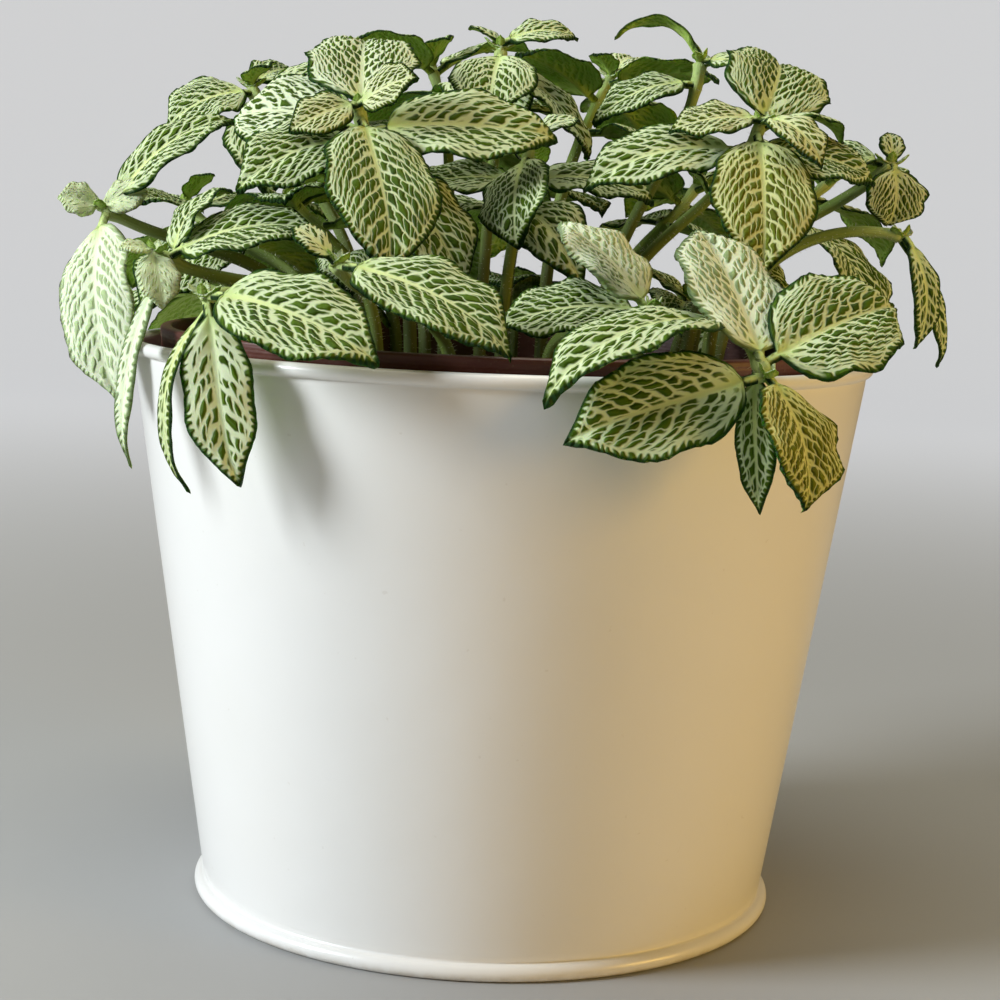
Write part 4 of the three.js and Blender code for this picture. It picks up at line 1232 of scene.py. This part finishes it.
class NERVEPLANT_OT_planter(bpy.types.Operator):
    """Spin the white metal planter, with its rolled rim, base bead and lapped back seam"""

    bl_idname = "nerveplant.planter"
    bl_label = "Add Planter"

    def execute(self, context):
        settings = context.scene.nerve_planter
        _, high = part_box("planter")
        height = high.z
        rim = high.x
        bead = settings.rim_bead
        base = settings.base_bead
        base_centre = BASE_BEAD_CENTRE * MM
        top_radius = rim - RIM_TO_WALL * MM

        def wall(z):
            return top_radius - (height - z) * WALL_TAPER

        rim_centre = height - bead
        foot = 2 * base + 0.2 * MM
        head = rim_centre - bead
        floor = PLANTER_FLOOR * MM
        sheet = settings.wall
        profile = [
            (0, 0), (base_centre - 6 * MM, 0), (base_centre - 0.4 * MM, 0),
            *arc(base_centre, base, base, -80, 78, 12),
            (wall(foot) - 0.25 * MM, foot - 0.15 * MM), (wall(foot), foot + 0.25 * MM),
            *[(wall(z), z) for z in np.linspace(foot + 1.5 * MM, head - 1.2 * MM, 12)],
            (wall(head) - 0.12 * MM, head - 0.3 * MM), (wall(head) - 0.2 * MM, head + 0.12 * MM),
            *arc(rim - bead, rim_centre, bead, -70, 190, 16),
            (wall(head) - sheet, head - 0.4 * MM),
            *[(wall(z) - sheet, z) for z in np.linspace(head - 3 * MM, floor + 1.5 * MM, 8)],
            (wall(floor) - sheet - 1 * MM, floor), (0, floor),
        ]
        bm = bmesh.new()
        spun(bm, profile, PLANTER_SPIN)
        seam = bmesh.new()
        bmesh.ops.create_grid(seam, x_segments=6, y_segments=30, size=1)
        for vert in seam.verts:
            z = foot + 1.2 * MM + (vert.co.y + 1) / 2 * (head - foot - 2.6 * MM)
            angle = math.pi / 2 + vert.co.x * settings.seam_width / 2 / rim
            swell = SEAM_SWELL * MM * (1 - abs(vert.co.x) ** 4)
            reach = wall(z) - 0.1 * MM + swell
            vert.co = (reach * math.cos(angle), reach * math.sin(angle), z)
        bmesh.ops.recalc_face_normals(seam, faces=seam.faces[:])
        if sum(face.normal.y for face in seam.faces) < 0:
            bmesh.ops.reverse_faces(seam, faces=seam.faces[:])
        bmesh.ops.solidify(seam, geom=seam.faces[:], thickness=SEAM_THICKNESS * MM)
        merge_into(bm, seam)
        piece = add_piece("white_planter", bm, [bpy.data.materials["white enamel"]])
        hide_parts("planter")
        return {"FINISHED"}


class NERVEPLANT_OT_nursery_pot(bpy.types.Operator):
    """Spin the plastic nursery pot and cut its drain holes"""

    bl_idname = "nerveplant.nursery_pot"
    bl_label = "Add Nursery Pot"

    def execute(self, context):
        wall = context.scene.nerve_nursery_pot.wall
        low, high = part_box("nursery_pot")
        floor_z = low.z
        top = high.z
        lip = high.x
        lip_wall = POT_LIP_WALL * MM
        shoulder = top - POT_LIP_DEPTH * MM
        shoulder_radius = POT_SHOULDER_RADIUS * MM
        floor_radius = POT_FLOOR_RADIUS * MM
        floor_edge = POT_FLOOR_EDGE * MM
        round_edge = POT_EDGE * MM
        flare = shoulder_radius - floor_radius
        rise = shoulder - floor_z - floor_edge
        profile = [
            (0, floor_z), (floor_radius - floor_edge, floor_z),
            (floor_radius, floor_z + floor_edge),
            *[(floor_radius + flare * k / 8, floor_z + floor_edge + rise * k / 8)
              for k in range(1, 9)],
            (lip - round_edge, shoulder + round_edge),
            *arc(lip - round_edge, top - round_edge, round_edge, 0, 90, 5),
            *arc(lip - lip_wall + round_edge, top - round_edge, round_edge, 90, 180, 5),
            (lip - lip_wall - round_edge, shoulder + lip_wall),
            (shoulder_radius - wall, shoulder - round_edge),
            (floor_radius - wall, floor_z + wall), (0, floor_z + wall),
        ]
        bm = bmesh.new()
        spun(bm, profile, NURSERY_POT_SPIN)
        piece = add_piece("brown_nursery_pot", bm, [bpy.data.materials["brown plastic"]])
        cutters = bmesh.new()
        reach = DRAIN_CIRCLE * MM
        radius = DRAIN_RADIUS * MM
        for k in range(DRAIN_HOLES):
            angle = math.tau * k / DRAIN_HOLES
            place = Matrix.Translation((reach * math.cos(angle), reach * math.sin(angle), floor_z))
            bmesh.ops.create_cone(cutters, cap_ends=True, segments=28, radius1=radius,
                                  radius2=radius, depth=6 * MM, matrix=place)
        cutter = add_piece("drain_holes", cutters, [])
        cut = piece.modifiers.new("drain holes", "BOOLEAN")
        cut.operation = "DIFFERENCE"
        cut.object = cutter
        evaluated = piece.evaluated_get(context.evaluated_depsgraph_get())
        solid = bpy.data.meshes.new_from_object(evaluated)
        piece.modifiers.clear()
        piece.data = solid
        bpy.data.objects.remove(cutter)
        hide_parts("nursery_pot")
        return {"FINISHED"}


class NERVEPLANT_OT_soil(bpy.types.Operator):
    """Heap the potting soil and strew crumbs over it"""

    bl_idname = "nerveplant.soil"
    bl_label = "Add Soil"

    def execute(self, context):
        settings = context.scene.nerve_soil
        low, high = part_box("soil")
        top = SOIL_TOP * MM
        reach = high.x
        foot_reach = SOIL_FOOT_RADIUS * MM
        bm = bmesh.new()
        rings = [(reach * k / SOIL_RINGS, top) for k in range(SOIL_RINGS, -1, -1)]
        spun(bm, [(0, low.z), (foot_reach, low.z), *rings], SOIL_SPIN)
        for vert in bm.verts:
            if vert.co.z > top - 1 * MM:
                x, y = vert.co.x / MM, vert.co.y / MM
                coarse = math.sin(0.23 * x + 1.3) * math.cos(0.19 * y - 0.4)
                fine = math.sin(0.51 * x - 0.37 * y + 2.1) * math.cos(0.44 * y + 0.29 * x)
                grain = noise.noise(vert.co * 420) * 0.5 + noise.noise(vert.co * 900) * 0.3
                vert.co.z += MM * (SOIL_LUMP * (0.55 * coarse + 0.45 * fine) + grain)
        draw = seeded_draws(CRUMB_SEED)
        crumbs = bmesh.new()
        for _ in range(settings.crumbs):
            radius = reach * math.sqrt(draw(0, 0.97))
            angle = draw(0, math.tau)
            size = settings.crumb_size * draw(0.45, 1.5)
            height = top + draw(-0.2, 0.9) * MM
            place = Matrix.Translation((radius * math.cos(angle), radius * math.sin(angle), height))
            turn = Matrix.Rotation(draw(0, math.tau), 4, Vector((draw(-1, 1), draw(-1, 1), 1)))
            stretch = Matrix.Diagonal((draw(0.7, 1.9), draw(0.7, 1.2), draw(0.5, 0.9), 1))
            bmesh.ops.create_icosphere(crumbs, subdivisions=1, radius=size,
                                       matrix=place @ turn @ stretch)
        merge_into(bm, crumbs)
        piece = add_piece("dark_potting_soil", bm, [bpy.data.materials["potting soil"]])
        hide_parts("soil")
        return {"FINISHED"}


class NERVEPLANT_OT_foliage(bpy.types.Operator):
    """Grow every leafy stem: stem, leaves, growing tip and hairs"""

    bl_idname = "nerveplant.foliage"
    bl_label = "Grow Leafy Stems"

    def execute(self, context):
        settings = context.scene.nerve_foliage
        names = ("leaf upper face", "leaf underside", "stem", "plant hair")
        materials = [bpy.data.materials[name] for name in names]
        large = round_template("large leaf", *LARGE_LEAF_GRID)
        small = round_template("small leaf", *SMALL_LEAF_GRID)
        tube = round_template("stem", *STEM_GRID)
        draw = seeded_draws(LOOK_SEED)
        stems, foliage = grow_plant()
        for stem in stems:
            bm = bmesh.new()
            line = fine_stem(bm, tube, stem, settings.stem_radius / MM, draw(0, 1))
            for leaf in foliage[stem.name]:
                template = large if leaf.length >= LARGE_LEAF else small
                fine_leaf(bm, template, leaf, settings.blade / MM, draw(0, 1))
            for leaf in bud_leaves(stem, draw):
                fine_leaf(bm, small, leaf, settings.blade / MM * BUD_THINNESS, draw(0, 1))
            hairs = bmesh.new()
            add_hairs(hairs, line, settings.stem_hairs, settings.hair_length, draw)
            merge_into(bm, hairs, HAIR)
            piece = add_piece(f"foliage_{stem.name}", bm, materials)
            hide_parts(f"leafy_stem_{stem.name}")
        for template in (large, small, tube):
            bpy.data.meshes.remove(template["mesh"])
        return {"FINISHED"}


class NERVEPLANT_OT_stage(bpy.types.Operator):
    """Set up the pale floor, the soft light and the camera"""

    bl_idname = "nerveplant.stage"
    bl_label = "Set Stage"

    def execute(self, context):
        settings = context.scene.nerve_stage
        scene = context.scene
        reach = settings.sweep
        bm = bmesh.new()
        flat = reach - SWEEP_CURVE
        spun(bm, [(0, 0), (0.4, 0), (flat, 0), *arc(flat, SWEEP_CURVE, SWEEP_CURVE, -80, 0, 8),
                  (reach, BACKDROP_HEIGHT)], SWEEP_SPIN)
        material, nodes, shader = new_material("pale floor")
        place = nodes.object_place()
        far = nodes.add("ShaderNodeVectorMath", {0: place}, operation="LENGTH").outputs["Value"]
        colour = nodes.mix(nodes.step(far, 0.3, 1.2), rgba(settings.floor), rgba(settings.backdrop))
        cloud = nodes.times(nodes.noise(place, 3.0, 3.0), 0.06)
        colour = nodes.mix(cloud, colour, rgba(FLOOR_CLOUD))
        nodes.put(colour, shader["Base Color"])
        nodes.put(rgba(settings.glow), shader["Emission Color"])
        seen = nodes.add("ShaderNodeLightPath").outputs["Is Camera Ray"]
        nodes.put(nodes.times(seen, nodes.step(far, 0.15, 1.0)), shader["Emission Strength"])
        shader["Roughness"].default_value = 0.65
        floor = smooth_object("floor", bm, [material])

        world = bpy.data.worlds.new("studio")
        world.use_nodes = True
        nodes = Nodes(world.node_tree)
        seen = nodes.add("ShaderNodeLightPath").outputs["Is Camera Ray"]
        light = nodes.mix(seen, rgba(ROOM_LIGHT), rgba(SKY_SEEN))
        nodes.put(light, world.node_tree.nodes["Background"].inputs["Color"])
        scene.world = world
        scene.view_settings.view_transform = "Standard"
        scene.view_settings.look = "None"

        for name, place, width, height, power, colour in LIGHTS:
            data = bpy.data.lights.new(name, "AREA")
            data.shape = "ELLIPSE"
            data.size = width
            data.size_y = height
            data.energy = power
            data.color = colour
            light = bpy.data.objects.new(name, data)
            light.location = place
            aim = Vector(LIGHT_TARGET) - light.location
            light.rotation_euler = aim.to_track_quat("-Z", "Y").to_euler()
            light.visible_camera = False
            scene.collection.objects.link(light)

        camera_data = bpy.data.cameras.new("camera")
        camera_data.lens = settings.lens
        camera_data.sensor_width = SENSOR
        camera_data.clip_start = 0.01
        camera = bpy.data.objects.new("camera", camera_data)
        forward = Vector((math.sin(settings.yaw) * math.cos(settings.pitch),
                          math.cos(settings.yaw) * math.cos(settings.pitch),
                          -math.sin(settings.pitch)))
        turn = Matrix.Rotation(settings.roll, 4, "Z")
        place = Matrix.Translation((0, -settings.distance, settings.height))
        camera.matrix_world = place @ forward.to_track_quat("-Z", "Y").to_matrix().to_4x4() @ turn
        scene.collection.objects.link(camera)
        scene.camera = camera
        return {"FINISHED"}


class NERVEPLANT_PT_sidebar(bpy.types.Panel):
    """Lists the settings and the steps that build the potted plant."""

    bl_label = "Nerve Plant"
    bl_idname = "NERVEPLANT_PT_sidebar"
    bl_space_type = "VIEW_3D"
    bl_region_type = "UI"
    bl_category = "Nerve Plant"

    def draw(self, context):
        for title, group, operators in SECTIONS:
            box = self.layout.box()
            box.label(text=title)
            if group:
                settings = getattr(context.scene, group)
                for name in settings.__annotations__:
                    box.prop(settings, name)
            for operator in operators:
                box.operator(operator)


SECTIONS = (
    ("Finishes", None, ("nerveplant.materials",)),
    ("Planter", "nerve_planter", ("nerveplant.planter",)),
    ("Nursery pot", "nerve_nursery_pot", ("nerveplant.nursery_pot",)),
    ("Soil", "nerve_soil", ("nerveplant.soil",)),
    ("Foliage", "nerve_foliage", ("nerveplant.foliage",)),
    ("Stage", "nerve_stage", ("nerveplant.stage",)),
)
SETTINGS = {
    "nerve_planter": PlanterSettings,
    "nerve_nursery_pot": NurseryPotSettings,
    "nerve_soil": SoilSettings,
    "nerve_foliage": FoliageSettings,
    "nerve_stage": StageSettings,
}
OPERATORS = (
    NERVEPLANT_OT_materials,
    NERVEPLANT_OT_planter,
    NERVEPLANT_OT_nursery_pot,
    NERVEPLANT_OT_soil,
    NERVEPLANT_OT_foliage,
    NERVEPLANT_OT_stage,
)


def register():
    for cls in (*SETTINGS.values(), *OPERATORS, NERVEPLANT_PT_sidebar):
        bpy.utils.register_class(cls)
    for name, cls in SETTINGS.items():
        setattr(bpy.types.Scene, name, PointerProperty(type=cls))


def unregister():
    for name in SETTINGS:
        delattr(bpy.types.Scene, name)
    for cls in reversed((*SETTINGS.values(), *OPERATORS, NERVEPLANT_PT_sidebar)):
        bpy.utils.unregister_class(cls)


def main():
    register()
    bpy.ops.nerveplant.materials()
    bpy.ops.nerveplant.planter()
    bpy.ops.nerveplant.nursery_pot()
    bpy.ops.nerveplant.soil()
    bpy.ops.nerveplant.foliage()
    bpy.ops.nerveplant.stage()


if __name__ == "__main__":
    main()
